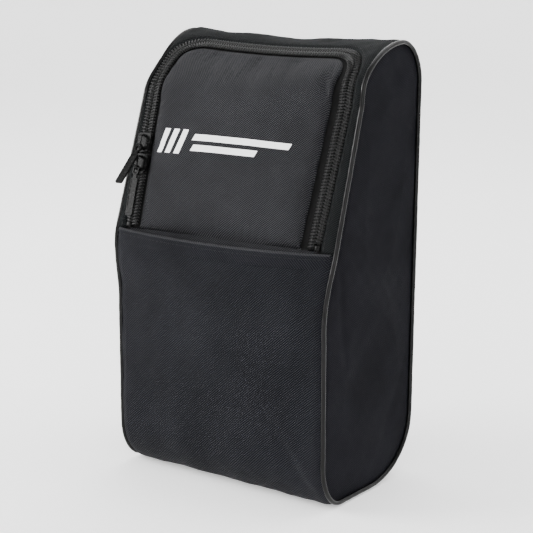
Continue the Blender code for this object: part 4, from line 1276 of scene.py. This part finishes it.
def shield(scale):
    """The slider's plate from above: broad shoulders, a waist and a rounded tail."""
    points = []
    for a in np.linspace(0, 2 * math.pi, 48, endpoint=False):
        c, s_ = math.cos(a), math.sin(a)
        px = math.copysign(abs(c) ** 0.42, c)
        py = math.copysign(abs(s_) ** 0.42, s_)
        waist = 1 - 0.16 * (1 - py) / 2 - 0.05 * math.exp(-((py + 0.1) / 0.3) ** 2)
        points.append((px * SLIDER_HALF_WIDTH * waist * scale, py * SLIDER_HALF_LENGTH * scale))
    return points


def make_slider(which, matrix):
    body = f"{which}_slider"
    plate = slab(shield(1.0), 0.0029, 0.0041)
    raised = slab(shield(0.72), 0.0040, 0.0045)
    half = SLIDER_HALF_LENGTH
    tail, nose = -half * 0.80, half * 0.84
    flange = slab([(0.0060, tail), (0.0065, tail), (0.0068, nose), (0.0060, nose)], 0.0007, 0.0032)
    tail = -half * 0.9
    foot = slab([(0.0004, tail), (0.0056, tail), (0.0066, half * 0.6), (0.0060, half), (0.0004, half)],
                -0.0028, -0.0015)
    tail = -half * 0.2
    wedge = slab([(-0.0002, tail), (0.0002, tail), (0.0002, half), (-0.0002, half)], -0.0020, 0.0030)
    plates = bevelled([plate, raised, flange, foot, wedge], f"{body}_body", matrix, 0.00028)
    fit_out(plates, body, "black_metal", body)

    angles = np.linspace(0, math.pi, 25)
    line = [(-0.0054 * math.copysign(abs(math.cos(a)) ** 0.45, math.cos(a)),
             0.0043 + 0.0051 * math.sin(a) ** 0.6) for a in angles]
    arch = strap(line, 0.0013, 0.00055)
    pads = [slab(rounded(0.0017, y - 0.0012, y + 0.0012, 0.0007), 0.0043, 0.0051) for y in (-0.0051, 0.0051)]
    bridge = bevelled([arch, *pads], f"{body}_arch", matrix, 0.00025)
    fit_out(bridge, body, "black_metal", f"{body}_bridge")

    raised_by = UPPER_PULL_RAISED if which == "upper" else 0.0
    pivot = matrix @ Matrix.Translation((0, -PIVOT_DOWN, PIVOT_OUT)) @ Matrix.Rotation(-raised_by, 4, "X")
    tab = bevelled(pull_parts(), f"{which}_pull_tab", pivot, 0.00022)
    fit_out(tab, f"{which}_pull", "black_metal", f"{which}_pull")


def pull_parts():
    """A long tab with a round eye, a narrow neck, a raised rim and a small hole at its end."""
    wide, thick = PULL_HALF_WIDTH, PULL_HALF_THICKNESS
    eye = rounded(0.0031, -0.0074, 0.0008, 0.0030, 8)
    eye_hole = rounded(0.0017, -0.0060, -0.0008, 0.0016, 8)
    neck = rounded(0.0017, -0.0105, -0.0066, 0.0006)
    blade = rounded(wide, -PULL_LENGTH, -0.0095, 0.0016, 6)
    end_hole = rounded(0.0015, -PULL_LENGTH + 0.0026, -PULL_LENGTH + 0.0056, 0.0014, 6)
    frame_out = rounded(wide - 0.0001, -PULL_LENGTH + 0.0001, -0.0096, 0.0015, 6)
    frame_in = rounded(wide - 0.0009, -PULL_LENGTH + 0.0070, -0.0108, 0.0009, 6)
    return [
        ring_slab(eye, eye_hole, -thick, thick),
        slab(neck, -thick * 0.8, thick * 0.8),
        ring_slab(blade, end_hole, -thick * 0.55, thick * 0.55),
        ring_slab(frame_out, frame_in[::-1], -thick, -thick * 0.5),
        ring_slab(frame_out, frame_in[::-1], thick * 0.5, thick),
    ]


# ---------------------------------------------------------------- stage, light and camera
def make_stage():
    """A round paper cove: a floor that curves up into a wall all the way round."""
    turn = np.linspace(0, math.pi / 2, 14)
    radius = np.concatenate([[0.001, 0.6, 1.2, 1.8], 2.6 + 1.0 * np.sin(turn), [3.6]])
    height = np.concatenate([[0, 0, 0, 0], 1.0 - 1.0 * np.cos(turn), [3.4]]) - 0.0005
    angles = np.linspace(0, 2 * math.pi, 73)[:-1]
    points = [(r * math.cos(a), r * math.sin(a), z) for r, z in zip(radius, height) for a in angles]
    count = len(angles)
    faces = ring_faces(len(radius), count) + [list(range(count))[::-1]]
    floor = bpy.data.meshes.new("studio_floor")
    floor.from_pydata(points, [], faces)
    floor.shade_smooth()
    n = Nodes("studio_paper")
    patches = n.noise(3, 2)
    paper = n.finish(n.ramp(patches, (0.3, grey(0.90)), (0.7, grey(0.93))), n.spread(patches, 0.85, 0.95))
    n.shader.inputs["Emission Color"].default_value = (1.0, 1.0, 1.0, 1.0)
    n.shader.inputs["Emission Strength"].default_value = PAPER_GLOW
    floor.materials.append(paper)
    add_object("studio_floor", floor)

    world = bpy.data.worlds.new("studio")
    world.use_nodes = True
    background = world.node_tree.nodes["Background"]
    background.inputs[0].default_value = (1.0, 1.0, 1.0, 1.0)
    background.inputs[1].default_value = ROOM_LIGHT
    bpy.context.scene.world = world


def light(name, place_at, aim, size, power):
    data = bpy.data.lights.new(name, "AREA")
    data.shape = "RECTANGLE"
    data.size, data.size_y = size
    data.energy = power
    obj = add_object(name, data)
    obj.location = place_at
    obj.rotation_euler = (Vector(aim) - Vector(place_at)).to_track_quat("-Z", "Y").to_euler()


def make_lights_and_camera():
    light("key", (-1.55, -1.05, 1.4), (0, 0, 0.18), (1.0, 1.2), 34)
    light("edge_strip", (-1.60, -0.95, 0.87), (0.1, -0.05, 0.25), (1.4, 0.22), 22)
    light("side_strip", (1.7, -1.5, 0.9), (0, 0, 0.2), (0.14, 1.2), 8)
    light("top_fill", (0.0, 0.8, 1.9), (0, 0.1, 0.3), (2.4, 1.4), 35)
    azimuth, elevation = CAMERA_TURN
    right = Vector((math.cos(azimuth), math.sin(azimuth), 0))
    back = Vector((math.sin(azimuth) * math.cos(elevation), -math.cos(azimuth) * math.cos(elevation),
                   math.sin(elevation)))
    camera = add_object("camera", bpy.data.cameras.new("camera"))
    camera.data.sensor_width = 36.0
    camera.data.lens = CAMERA_LENS
    turn = Matrix((right, back.cross(right), back)).transposed().to_4x4()
    camera.matrix_world = Matrix.Translation(CAMERA_AT) @ turn
    bpy.context.scene.camera = camera


make_pocket()
make_front_wall()
make_surround()
make_back_and_base()
make_side(-1, "left")
make_side(1, "right")
make_base_board()
make_handle()
make_zip()
make_flap()
make_hinge_strip()
for which, matrix in slider_frames().items():
    make_slider(which, matrix)
make_stage()
make_lights_and_camera()
